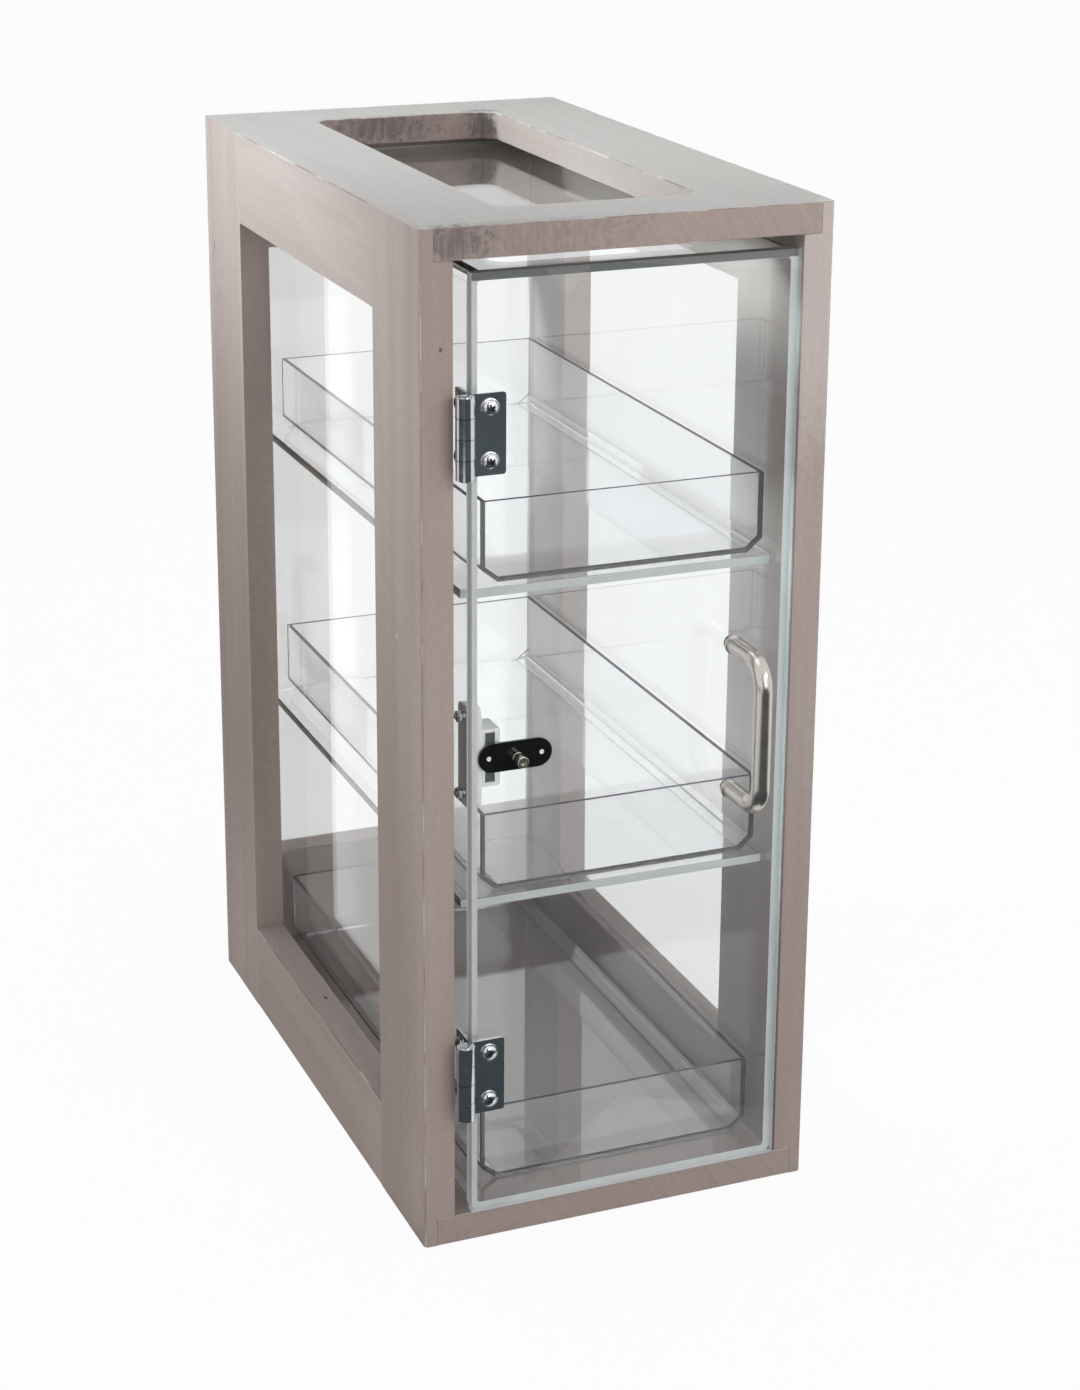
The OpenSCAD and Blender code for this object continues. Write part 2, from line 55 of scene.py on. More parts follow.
MM = 0.001
X, Y, Z = Vector((1, 0, 0)), Vector((0, 1, 0)), Vector((0, 0, 1))
ORIGIN = (0.0, 0.0, 0.0)
SIDES = ("left", "right")
TIERS = ("upper", "middle", "lower")
HINGES = ("upper", "lower")
ENDS = ("lower", "upper")
FRONTWARD = (math.pi / 2, 0, 0)
BACKWARD = (-math.pi / 2, 0, 0)
LEFTWARD = (0, -math.pi / 2, 0)
RIGHTWARD = (0, math.pi / 2, 0)

# The top board's window, as low and high corners: half its width, and the strips in front and behind
WINDOW_HALF, FRONT_STRIP, BACK_STRIP = 55.5 * MM, 43 * MM, 41 * MM
WINDOW = (
    (-WINDOW_HALF, BOX["top_board"][0].y + FRONT_STRIP),
    (WINDOW_HALF, BOX["top_board"][1].y - BACK_STRIP),
)


def hinge_span(hinge):
    """The lowest and the highest level of a hinge."""
    return BOX[f"{hinge}_hinge_door_leaf"][0].z, BOX[f"{hinge}_hinge_case_leaf"][1].z


# Between a hinge's two screws, round a screw in its hole, and the radii of the catch's nuts, its screws'
# holes and the handle's collars
SCREW_PITCH = 27 * MM
SCREW_PLAY = 0.1 * MM
NUT_R = 5.5 * MM / 3 ** 0.5
CATCH_HOLE_R = 1.6 * MM
COLLAR_R = 5.2 * MM

# Levels of the hinge screws, of the catch's screws and of the handle's legs
SCREW_HEIGHTS = [sum(hinge_span(hinge)) / 2 + s * SCREW_PITCH / 2 for hinge in HINGES for s in (-1, 1)]
CATCH_SCREW_HEIGHTS = [BOX["catch_nuts"][0].z + NUT_R, BOX["catch_nuts"][1].z - NUT_R]
LEG_HEIGHTS = [BOX["handle_collars"][0].z + COLLAR_R, BOX["handle_collars"][1].z - COLLAR_R]


# ---------- settings ----------


def length(name, text, default):
    """A length setting, in metres."""
    return FloatProperty(name=name, description=text, default=default, min=0.0, unit="LENGTH", precision=5)


def colour(name, text, default):
    """A colour setting, in linear light."""
    return FloatVectorProperty(
        name=name, description=text, default=default, size=3, min=0.0, max=1.0, subtype="COLOR"
    )


def angle(name, text, degrees):
    """An angle setting, given in degrees."""
    return FloatProperty(name=name, description=text, default=math.radians(degrees), subtype="ANGLE")


def share(name, text, default, high=1.0):
    """A plain number from nought upwards."""
    return FloatProperty(name=name, description=text, default=default, min=0.0, max=high)


class BinWoodSettings(bpy.types.PropertyGroup):
    """Sizes and colours of the wooden frame."""

    base: colour("Wood", "Colour of the washed wood", (0.385, 0.305, 0.280))
    # These dark band colours also paint the shade patches low on the frame's left side.
    dark: colour("Dark bands", "Colour of the darker bands in the wood", (0.262, 0.198, 0.180))
    wash: colour("Wash", "Colour of the pale wash on the wood", (0.425, 0.352, 0.327))
    # Painted light: faces that look up are blended to this paler grey for the light that falls on them from
    # above, the more so the higher they stand.
    top: colour("Top", "Colour of the faded wood that faces up", (0.430, 0.410, 0.395))
    end_grain: colour("End grain", "Colour of the dark patches of end grain", (0.150, 0.132, 0.126))
    # Painted light: the pale patches on the uprights use this colour for brighter light on the right front
    # stile and on the reveal at the back of the left window.
    pale: colour("Pale", "Colour of the palest rubbed places", (0.600, 0.550, 0.520))
    seam: colour("Seam", "Colour in the seams between two boards", (0.085, 0.070, 0.065))
    corner_r: length("Corner rounding", "Rounding of the frame's outer upright corners", 2.5 * MM)
    edge_r: length("Edge rounding", "Rounding of the wood's free edges", 0.55 * MM)
    seam_w: length("Seam width", "Chamfer along the edges that meet another board", 0.16 * MM)
    window_r: length("Window corner", "Rounding of the top window's corners", 10 * MM)
    dowel_d: length("Dowel", "Diameter of the dowel holes", 8.1 * MM)


class BinClearSettings(bpy.types.PropertyGroup):
    """Sizes and colours of the clear sheets."""

    face: colour("Sheet", "Tint of the clear sheets", (0.975, 0.985, 0.983))
    edge: colour("Cut edge", "Colour of the case's and the door's cut edges", (0.76, 0.79, 0.79))
    tray: colour("Tray", "Tint of the trays' walls", (0.965, 0.965, 0.975))
    tray_edge: colour("Tray edge", "Colour of the trays' cut edges", (0.13, 0.11, 0.19))
    bend_r: length("Bend", "Outer radius of the case's bent corners", 6.8 * MM)
    sheet_t: length("Sheet thickness", "Thickness of the case's sheet", 4.8 * MM)
    tray_t: length("Tray wall", "Thickness of a tray's wall", 2.4 * MM)
    slope_w: length("Slope width", "Width of the slope along a tray's lower sides", 8.5 * MM)
    slope_h: length("Slope height", "Height of that slope", 7 * MM)
    edge_r: length("Edge rounding", "Rounding of the sheets' cut edges", 0.3 * MM)
    air: length("Air gap", "Gap left between two sheets that touch", 0.05 * MM)


class BinMetalSettings(bpy.types.PropertyGroup):
    """Sizes and colours of the hinges, screws, catch and handle."""

    chrome: colour("Chrome", "Colour of the hinges and screws", (0.66, 0.67, 0.69))
    satin: colour("Satin steel", "Colour of the handle", (0.60, 0.555, 0.52))
    black: colour("Black plate", "Colour of the strike plate", (0.016, 0.018, 0.020))
    plastic: colour("Catch", "Colour of the catch's moulded body", (0.86, 0.86, 0.84))
    hinge_pin_d: length("Pin", "Diameter of the hinge pins", 3.2 * MM)
    barrel_d: length("Barrel", "Diameter of the hinge barrels", 9.6 * MM)
    leaf_t: length("Leaf", "Thickness of the hinge leaves", 1.6 * MM)
    leaf_r: length("Leaf corner", "Rounding of the leaves' free corners", 1.6 * MM)
    knuckles: IntProperty(name="Knuckles", description="Number of knuckles on a hinge", default=4, min=3)
    knuckle_gap: length("Knuckle gap", "Gap between two knuckles", 0.3 * MM)
    screw_d: length("Screw", "Diameter of the screws", 4 * MM)
    screw_head_d: length("Screw head", "Diameter of the hinge screws' heads", 9.4 * MM)
    handle_d: length("Handle rod", "Diameter of the handle's rod", 9.6 * MM)
    handle_bend_r: length("Handle bend", "Radius of the handle's bends", 14 * MM)


class BinStageSettings(bpy.types.PropertyGroup):
    """The camera and the lights."""

    azimuth: angle("Azimuth", "Camera's turn round the bin", -22.20)
    elevation: angle("Elevation", "Camera's tilt above the level", 16.87)
    roll: angle("Roll", "Camera's roll", 0.39)
    place: FloatVectorProperty(
        name="Camera", description="Where the camera stands", default=(-0.5567, -1.4337, 0.8042),
        size=3, subtype="TRANSLATION", unit="LENGTH",
    )
    lens: FloatProperty(name="Lens", description="Focal length for a 36 mm sensor", default=73.37, min=1.0)
    shift: FloatProperty(name="Shift", description="Upright shift of the lens", default=-0.126)
    world: share("World", "Brightness of the room", 0.46, 10.0)
    top_watts: share("Top lamp", "Power of the lamp above", 6.3, 1000.0)
    left_watts: share("Left lamp", "Power of the lamp on the upper left", 0.78, 1000.0)
    right_watts: share("Right lamp", "Power of the lamp on the upper right", 0.065, 1000.0)
    front_watts: share("Front lamp", "Power of the lamp in front", 10.5, 1000.0)


SETTINGS = {
    "bin_wood": BinWoodSettings,
    "bin_clear": BinClearSettings,
    "bin_metal": BinMetalSettings,
    "bin_stage": BinStageSettings,
}


# ---------- selecting and shaping ----------


def object_mode():
    """Leaves edit mode."""
    if bpy.context.mode != "OBJECT":
        bpy.ops.object.mode_set(mode="OBJECT")


def pick(*pieces):
    """Selects only these pieces, with the first one active."""
    object_mode()
    bpy.ops.object.select_all(action="DESELECT")
    for piece in pieces:
        piece.select_set(True)
    if pieces:
        bpy.context.view_layer.objects.active = pieces[0]


def edit_all(kind):
    """Enters edit mode with all the edges or faces selected."""
    bpy.ops.object.mode_set(mode="EDIT")
    bpy.ops.mesh.select_mode(type=kind)
    bpy.ops.mesh.select_all(action="SELECT")


def settle(piece):
    """Puts a piece's place into its mesh, so that its object sits at the origin."""
    pick(piece)
    bpy.ops.object.transform_apply(location=True, rotation=True, scale=True)


def block(name, low, high):
    """A block between two corners."""
    low, high = Vector(low), Vector(high)
    pick()
    bpy.ops.mesh.primitive_cube_add(size=1, location=(low + high) / 2, scale=high - low)
    piece = bpy.context.object
    piece.name = piece.data.name = name
    settle(piece)
    return piece


def rod(name, start, axis, radius, reach, sides=48):
    """A cylinder from a point along an axis."""
    axis = Vector(axis)
    pick()
    bpy.ops.mesh.primitive_cylinder_add(
        vertices=sides,
        radius=radius,
        depth=reach,
        location=Vector(start) + axis * reach / 2,
        rotation=axis.to_track_quat("Z", "Y").to_euler(),
    )
    piece = bpy.context.object
    piece.name = piece.data.name = name
    settle(piece)
    return piece


def choose_none(piece, kind):
    """Clears a piece's selection, ready to choose edges or faces."""
    pick(piece)
    edit_all(kind)
    bpy.ops.mesh.select_all(action="DESELECT")
    object_mode()


def choose_edges(piece, test):
    """Selects the edges whose middle and direction pass a test, and stays in edit mode."""
    choose_none(piece, "EDGE")
    mesh = piece.data
    for edge in mesh.edges:
        a, b = (mesh.vertices[i].co for i in edge.vertices)
        edge.select = bool(test((a + b) / 2, (b - a).normalized()))
    bpy.ops.object.mode_set(mode="EDIT")


def choose_faces(piece, test):
    """Selects the faces whose middle and normal pass a test, and stays in edit mode."""
    choose_none(piece, "FACE")
    for face in piece.data.polygons:
        face.select = bool(test(face.center, face.normal))
    bpy.ops.object.mode_set(mode="EDIT")


def round_edges(piece, width, segments, test, finish=-1):
    """Bevels the edges that pass a test."""
    choose_edges(piece, test)
    bpy.ops.mesh.bevel(offset=width, segments=segments, affect="EDGES", clamp_overlap=True, material=finish)
    object_mode()


def apply_modifier(piece, modifier):
    """Applies one modifier."""
    pick(piece)
    bpy.ops.object.modifier_apply(modifier=modifier.name)


def ease(piece, width, segments=2, angle=30):
    """Rounds all the sharp edges a little."""
    modifier = piece.modifiers.new("Eased edges", "BEVEL")
    modifier.width = width
    modifier.segments = segments
    modifier.limit_method = "ANGLE"
    modifier.angle_limit = math.radians(angle)
    apply_modifier(piece, modifier)


def combine(piece, other, operation):
    """Cuts another piece away from this one, or fuses it on."""
    modifier = piece.modifiers.new(operation.title(), "BOOLEAN")
    modifier.operation = operation
    modifier.solver = "EXACT"
    modifier.object = other
    apply_modifier(piece, modifier)
    mesh = other.data
    bpy.data.objects.remove(other, do_unlink=True)
    bpy.data.meshes.remove(mesh)


def carve(piece, *cutters):
    """Cuts the cutters away from a piece."""
    for cutter in cutters:
        combine(piece, cutter, "DIFFERENCE")


def fuse(piece, *others):
    """Fuses other shapes on to a piece."""
    for other in others:
        combine(piece, other, "UNION")


def copy_of(piece, name, move=ORIGIN, turn=ORIGIN):
    """A copy with its own mesh, turned about the origin and moved to its place."""
    pick(piece)
    bpy.ops.object.duplicate(linked=False)
    made = bpy.context.object
    made.name = made.data.name = name
    made.rotation_euler = turn
    made.location = move
    settle(made)
    return made


def turned(name, radius, steps, sides=32):
    """A shape turned round the Z axis from the origin: each step is how far up it goes and its new radius."""
    pick()
    bpy.ops.mesh.primitive_circle_add(vertices=sides, radius=radius, fill_type="NGON")
    piece = bpy.context.object
    piece.name = piece.data.name = name
    edit_all("FACE")
    height = 0.0
    for rise, new_radius in steps:
        height += rise
        bpy.ops.mesh.extrude_region_move(TRANSFORM_OT_translate={"value": (0, 0, rise)})
        factor = new_radius / radius
        if factor != 1:
            bpy.ops.transform.resize(value=(factor, factor, 1), center_override=(0, 0, height))
        radius = new_radius
    bpy.ops.mesh.select_all(action="SELECT")
    bpy.ops.mesh.normals_make_consistent(inside=False)
    object_mode()
    return piece


def dress(piece, *finishes):
    """Gives a new piece its finishes, in order."""
    for finish in finishes:
        piece.data.materials.append(finish)


def paint_faces(piece, finish, test):
    """Gives the faces that pass a test another of the piece's finishes."""
    choose_faces(piece, test)
    piece.active_material_index = finish
    bpy.ops.object.material_slot_assign()
    object_mode()


def dress_cutter(cutter, outside, inside):
    """Gives a cutter a piece's two finishes, so that the faces it cuts get the second one."""
    dress(cutter, FINISHES[outside], FINISHES[inside])
    paint_faces(cutter, 1, lambda m, n: True)


def smooth(piece, angle=50):
    """Shades the round faces smooth, while the flat faces stay flat."""
    pick(piece)
    bpy.ops.object.shade_smooth_by_angle(angle=math.radians(angle))
    weights = piece.modifiers.new("Flat faces", "WEIGHTED_NORMAL")
    weights.weight = 100
    weights.keep_sharp = True
    apply_modifier(piece, weights)


def fit(piece, body, slot, *nodes):
    """Finishes a piece: its shading, its body and the nodes it stands for. Its slot argument is not used."""
    smooth(piece)
    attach(piece, body)
    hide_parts(*nodes)


def near(a, b, tolerance=0.2 * MM):
    """Whether two lengths are the same."""
    return abs(a - b) < tolerance


def along(axis):
    """A test for the edges that run along an axis."""
    return lambda m, d: abs(d[axis]) > 0.9


def facing(axis, sign):
    """A test for the faces that look along an axis, forwards or backwards."""
    return lambda m, n: sign * n[axis] > 0.9


def middle(node, axis):
    """The middle of a node's box along an axis."""
    low, high = BOX[node]
    return (low[axis] + high[axis]) / 2


def through(place, axis, thickness, radius=None):
    """A cutter for a hole through a sheet, from its face. Unless a radius is given, it fits a hinge screw."""
    radius = radius or bpy.context.scene.bin_metal.screw_d / 2 + SCREW_PLAY
    return rod("hole", Vector(place) - axis * MM, axis, radius, thickness + 2 * MM, 24)


# ---------- finishes ----------


class Finish:
    """A material in the making. Its nodes stand in a row, left to right."""

    def __init__(self, name):
        self.material = bpy.data.materials.new(name)
        self.material.use_nodes = True
        self.tree = self.material.node_tree
        self.shader = self.tree.nodes["Principled BSDF"]
        self.output = self.tree.nodes["Material Output"]
        self.count = 0

    def node(self, kind, settings=None, **inputs):
        """Adds a node. Inputs are values, or outputs of other nodes; _ stands for a space."""
        made = self.tree.nodes.new(kind)
        self.count += 1
        made.location = (-1800 + 180 * (self.count % 9), 300 - 220 * (self.count // 9))
        for key, value in (settings or {}).items():
            setattr(made, key, value)
        for key, value in inputs.items():
            self.feed(made, int(key[1:]) if key[1:].isdigit() else key.replace("_", " "), value)
        return made

    def feed(self, node, key, value):
        """Sets or links one input of a node."""
        socket = node.inputs[key]
        if isinstance(value, bpy.types.NodeSocket):
            self.tree.links.new(value, socket)
        elif hasattr(socket.default_value, "__len__") and len(value) == 3 and len(socket.default_value) == 4:
            socket.default_value = (*value, 1.0)
        else:
            socket.default_value = value

    def set(self, **inputs):
        """Sets or links the shader's own inputs."""
        for key, value in inputs.items():
            self.feed(self.shader, key.replace("_", " "), value)

    def place(self, scale=(1, 1, 1), turn=ORIGIN, offset=None):
        """Object coordinates, turned and then scaled, with an offset that may come from a node."""
        source = self.node("ShaderNodeTexCoord").outputs["Object"]
        if offset is not None:
            source = self.node("ShaderNodeVectorMath", {"operation": "ADD"}, _0=source, _1=offset).outputs[0]
        source = self.node("ShaderNodeMapping", Vector=source, Rotation=turn).outputs[0]
        return self.node("ShaderNodeMapping", Vector=source, Scale=scale).outputs[0]

    def noise(self, where, scale, detail=3.0, roughness=0.55, distortion=0.0):
        """A noise pattern from 0 to 1."""
        made = self.node("ShaderNodeTexNoise", Vector=where, Scale=scale, Detail=detail,
                         Roughness=roughness, Distortion=distortion)
        return made.outputs["Fac"]

    def ramp(self, value, low, high, to_low=0.0, to_high=1.0):
        """Maps a range of values smoothly to another, and holds it there."""
        made = self.node("ShaderNodeMapRange", {"interpolation_type": "SMOOTHSTEP"}, Value=value,
                         From_Min=low, From_Max=high, To_Min=to_low, To_Max=to_high)
        return made.outputs[0]

    def math(self, operation, a, b=0.0):
        """One sum of two values."""
        made = self.node("ShaderNodeMath", {"operation": operation}, _0=a, _1=b)
        return made.outputs[0]

    def blend(self, share, a, b, how="MIX"):
        """Two colours mixed."""
        made = self.node("ShaderNodeMix", {"data_type": "RGBA", "blend_type": how})
        for index, value in ((0, share), (6, a), (7, b)):
            self.feed(made, index, value)
        return made.outputs[2]

    def bump(self, height, distance, strength):
        """A bump from a height pattern."""
        return self.node("ShaderNodeBump", Height=height, Distance=distance, Strength=strength).outputs[0]

    def spot(self, centre, radii, turn=ORIGIN, ragged=0.45):
        """1 inside an ellipsoid and 0 outside it, with a ragged rim."""
        source = self.node("ShaderNodeTexCoord").outputs["Object"]
        inside = self.node("ShaderNodeMapping", {"vector_type": "TEXTURE"}, Vector=source, Location=centre,
                           Rotation=turn, Scale=radii).outputs[0]
        far = self.node("ShaderNodeVectorMath", {"operation": "LENGTH"}, _0=inside).outputs["Value"]
        rough = self.ramp(self.noise(source, 260, 3, 0.6), 0.25, 0.75, -ragged, ragged)
        return self.ramp(self.math("ADD", far, rough), 0.45, 1.15, 1, 0)

    def lets_lamps_through(self, tint):
        """Mixes in a transparent shader, so that lamps shine through the clear sheet."""
        path = self.node("ShaderNodeLightPath").outputs["Is Shadow Ray"]
        clear = self.node("ShaderNodeBsdfTransparent", Color=tint).outputs[0]
        mix = self.node("ShaderNodeMixShader", _0=path, _1=self.shader.outputs[0], _2=clear)
        self.tree.links.new(mix.outputs[0], self.output.inputs["Surface"])


def grain_scale(axis, across, along):
    """Scale of a pattern that is stretched along an axis."""
    return [along if i == axis else across for i in range(3)]


def wood_finish(name, axis, settings, marks=()):
    """Grey-washed wood: faint grain along an axis, end grain where the axis comes out, a paler grey painted
    on the faces that look up as light from above, and marks, some of which are painted light and shade.
    """
    f = Finish(name)
    plank = f.node("ShaderNodeAttribute", {"attribute_name": "plank"}).outputs["Fac"]
    offset = f.node("ShaderNodeCombineXYZ", X=f.math("MULTIPLY", plank, 3.7),
                    Y=f.math("MULTIPLY", plank, 5.3), Z=f.math("MULTIPLY", plank, 7.1)).outputs[0]
    broad = f.noise(f.place(grain_scale(axis, 11, 3), offset=offset), 1, 2, 0.5, 0.4)
    bands = f.noise(f.place(grain_scale(axis, 75, 2.4), offset=offset), 1, 2, 0.5, 0.2)
    streaks = f.noise(f.place(grain_scale(axis, 430, 12), offset=offset), 1, 2, 0.6)
    mottle = f.noise(f.place(offset=offset), 330, 4, 0.65)
    tint = f.blend(f.ramp(broad, 0.36, 0.66, 0, 0.8), settings.base, settings.wash)
    tint = f.blend(f.ramp(bands, 0.48, 0.75, 0, 0.20), tint, settings.dark)
    normal = f.node("ShaderNodeTexCoord").outputs["Normal"]
    parts = f.node("ShaderNodeSeparateXYZ", Vector=normal).outputs
    end = f.ramp(f.math("ABSOLUTE", parts[axis]), 0.80, 0.90)
    saw = f.noise(f.place((430, 60, 26), (0, math.radians(32), 0), offset), 1, 2, 0.55)
    end_tint = f.blend(f.ramp(saw, 0.54, 0.75, 0, 0.16), settings.base, settings.end_grain)
    end_tint = f.blend(f.ramp(saw, 0.48, 0.25, 0, 0.45), end_tint, settings.wash)
    tint = f.blend(end, tint, end_tint)
    spot = f.node("ShaderNodeTexCoord").outputs["Object"]
    level = f.node("ShaderNodeSeparateXYZ", Vector=spot).outputs[2]
    # Painted light from above: faces that look up turn towards the top colour, more strongly higher up the
    # frame.
    painted_top_light = f.math("MULTIPLY", f.ramp(parts[2], 0.75, 0.95, 0, 0.93), f.ramp(level, 0.1, 0.5, 0.25, 1))
    tint = f.blend(painted_top_light, tint, settings.top)
    strokes = f.ramp(f.noise(f.place((420, 420, 60)), 1, 3, 0.6), 0.30, 0.62, 0.35, 1)
    # The pale and dark kinds paint light and shade on the uprights; the seam and end-grain kinds are marks in
    # the wood.
    for centre, radii, turn, depth, kind in marks:
        ragged = 0.1 if kind in ("pale", "dark") else 0.45
        worn = f.math("MULTIPLY", f.spot(centre, radii, turn, ragged), depth)
        if kind == "end_grain":
            worn = f.math("MULTIPLY", worn, strokes)
        tint = f.blend(worn, tint, getattr(settings, kind))
    fleck = f.node("ShaderNodeTexVoronoi", {"feature": "F1"},
                   Vector=f.place(grain_scale(axis, 60, 30), offset=offset), Scale=1.0)
    chosen = f.node("ShaderNodeSeparateColor", Color=fleck.outputs["Color"]).outputs
    dark_fleck = f.math("MULTIPLY", f.ramp(fleck.outputs["Distance"], 0.04, 0.08, 1, 0),
                        f.ramp(chosen[0], 0.93, 0.94))
    pale_fleck = f.math("MULTIPLY", f.ramp(fleck.outputs["Distance"], 0.03, 0.05, 1, 0),
                        f.ramp(chosen[1], 0.94, 0.95))
    tint = f.blend(dark_fleck, tint, settings.seam)
    tint = f.blend(pale_fleck, tint, (0.66, 0.62, 0.60))
    fine = f.math("ADD", f.ramp(streaks, 0.2, 0.8, 0.975, 1.025),
                  f.ramp(mottle, 0.2, 0.8, -0.045, 0.045))
    grey = f.node("ShaderNodeCombineColor", Red=fine, Green=fine, Blue=fine).outputs[0]
    tint = f.blend(1.0, tint, grey, "MULTIPLY")
    height = f.math("ADD", f.math("MULTIPLY", streaks, 0.6), f.math("MULTIPLY", mottle, 0.5))
    f.set(Base_Color=tint, Roughness=f.ramp(bands, 0.2, 0.8, 0.56, 0.68),
          Normal=f.bump(height, 0.10 * MM, 0.40), Specular_IOR_Level=0.18)
    return f.material


def wood_edge_finish(settings):
    """Wood along the worn free edges: rubbed pale in places, with dirt in others. On the frame's rounded
    outer corners it also stands in for a painted highlight.
    """
    f = Finish("worn_edge_wood")
    where = f.place()
    wear = f.noise(where, 34, 4, 0.62)
    fine = f.noise(where, 700, 2, 0.6)
    tint = f.blend(f.ramp(wear, 0.42, 0.52), settings.dark, settings.base)
    tint = f.blend(f.ramp(wear, 0.50, 0.64), tint, (0.58, 0.53, 0.50))
    tint = f.blend(f.ramp(fine, 0.55, 0.75, 0, 0.25), tint, settings.dark)
    f.set(Base_Color=tint, Roughness=f.ramp(wear, 0.3, 0.7, 0.55, 0.68),
          Normal=f.bump(fine, 0.1 * MM, 0.4), Specular_IOR_Level=0.18)
    return f.material


def seam_finish(settings):
    """The dark line where two boards meet."""
    f = Finish("seam_wood")
    where = f.place()
    depth = f.noise(where, 60, 3, 0.6)
    tint = f.blend(f.ramp(depth, 0.35, 0.70), settings.seam, settings.dark)
    f.set(Base_Color=tint, Roughness=f.ramp(depth, 0.3, 0.7, 0.7, 0.9),
          Normal=f.bump(f.noise(where, 1200, 2), 0.1 * MM, 0.5), Specular_IOR_Level=0.1)
    return f.material


def dowel_finish():
    """Bare beech for the dowels inside the joints."""
    f = Finish("dowel_wood")
    streaks = f.noise(f.place((700, 20, 700)), 1, 3, 0.6)
    f.set(Base_Color=f.blend(f.ramp(streaks, 0.3, 0.7), (0.50, 0.33, 0.18), (0.64, 0.46, 0.28)),
          Roughness=f.ramp(streaks, 0.3, 0.7, 0.55, 0.7), Normal=f.bump(streaks, 0.1 * MM, 0.5))
    return f.material


def clear_finish(name, tint):
    """A clear sheet with the faintest smears on it."""
    f = Finish(name)
    where = f.place()
    smear = f.noise(where, 22, 4, 0.65, 0.6)
    f.set(Base_Color=f.blend(f.ramp(smear, 0.3, 0.7), tint, [min(1.0, c * 1.01) for c in tint]),
          Roughness=f.ramp(smear, 0.45, 0.80, 0.0, 0.012), Transmission_Weight=1.0, IOR=1.49)
    f.lets_lamps_through([c * 0.94 for c in tint])
    return f.material


def clear_edge_finish(name, tint, clearness, roughness):
    """The cut edge of a clear sheet, with fine saw marks, which gathers the sheet's light."""
    f = Finish(name)
    where = f.place()
    cloud = f.noise(where, 45, 3, 0.6)
    marks = f.noise(f.place((900, 900, 900)), 1, 2, 0.6)
    f.set(Base_Color=f.blend(f.ramp(cloud, 0.3, 0.7), [c * 0.93 for c in tint], tint),
          Roughness=f.ramp(marks, 0.3, 0.7, roughness * 0.8, roughness * 1.2),
          Transmission_Weight=clearness, IOR=1.49, Normal=f.bump(marks, 0.03 * MM, 0.4))
    f.lets_lamps_through([0.55 + 0.3 * c for c in tint])
    return f.material


def metal_finish(name, tint, roughness, smear=0.05, brushed=None, metallic=1.0, bump=0.01):
    """Plated, polished, brushed or painted metal with slight smears, or brushed along an axis."""
    f = Finish(name)
    where = f.place()
    cloud = f.noise(where, 160, 4, 0.6)
    if brushed is None:
        lines = f.noise(where, 2600, 2, 0.6)
    else:
        lines = f.noise(f.place(grain_scale(brushed, 5200, 120)), 1, 3, 0.7)
    f.set(Base_Color=f.blend(f.ramp(cloud, 0.3, 0.7), [c * 0.92 for c in tint], tint), Metallic=metallic,
          Roughness=f.math("ADD", f.ramp(cloud, 0.3, 0.7, roughness, roughness + smear),
                           f.ramp(lines, 0.3, 0.7, -0.3 * smear, 0.3 * smear)),
          Normal=f.bump(lines, bump * MM, 0.5))
    return f.material


def plastic_finish(name, tint, roughness=0.38):
    """Moulded plastic with a fine texture."""
    f = Finish(name)
    where = f.place()
    cloud = f.noise(where, 120, 3, 0.6)
    pores = f.noise(where, 3000, 2, 0.6)
    f.set(Base_Color=f.blend(f.ramp(cloud, 0.3, 0.7), [c * 0.95 for c in tint], tint),
          Roughness=f.ramp(cloud, 0.3, 0.7, roughness, roughness + 0.1),
          Normal=f.bump(pores, 0.02 * MM, 0.4), Specular_IOR_Level=0.45)
    return f.material


# Marks in the wood, and on the uprights patches of painted light and shade: middle, radii, turn, depth and
# colour
UPRIGHT_MARKS_AND_PAINTED_LIGHT = (
    ((-0.111, 0.174, 0.468), (0.004, 0.0007, 0.008), (math.radians(25), 0, 0), 0.9, "seam"),
    ((-0.1005, -0.1875, 0.487), (0.0014, 0.004, 0.0014), ORIGIN, 0.9, "seam"),
    # Painted light: two pale patches on the face of the right front stile, strong at the top and faint lower
    # down, where more light falls.
    ((0.101, -0.1875, 0.500), (0.030, 0.012, 0.090), ORIGIN, 0.55, "pale"),
    ((0.101, -0.1875, 0.330), (0.030, 0.012, 0.120), ORIGIN, 0.15, "pale"),
    # Painted shade: a dark patch low on the left side's back stile, where less light falls.
    ((-0.111, 0.155, 0.260), (0.030, 0.055, 0.210), ORIGIN, 0.60, "dark"),
    # Painted light: a pale strip down the back stile's face seen in the left window, brightening it where
    # little light reaches.
    ((-0.1015, 0.1465, 0.270), (0.0095, 0.006, 0.300), ORIGIN, 0.70, "pale"),
    # Painted shade: a dark patch low on the left side towards the front, where less light falls.
    ((-0.111, -0.128, 0.130), (0.030, 0.055, 0.240), ORIGIN, 0.42, "dark"),
)
BOARD_MARKS = (
    ((-0.094, -0.1875, 0.539), (0.021, 0.012, 0.011), ORIGIN, 0.75, "end_grain"),
    ((-0.070, -0.1875, 0.540), (0.075, 0.012, 0.016), ORIGIN, 0.30, "end_grain"),
    ((-0.012, 0.1465, 0.541), (0.034, 0.005, 0.013), ORIGIN, 0.75, "end_grain"),
    ((0.048, 0.1465, 0.541), (0.012, 0.012, 0.014), ORIGIN, 0.85, "end_grain"),
)
FINISHES = {}


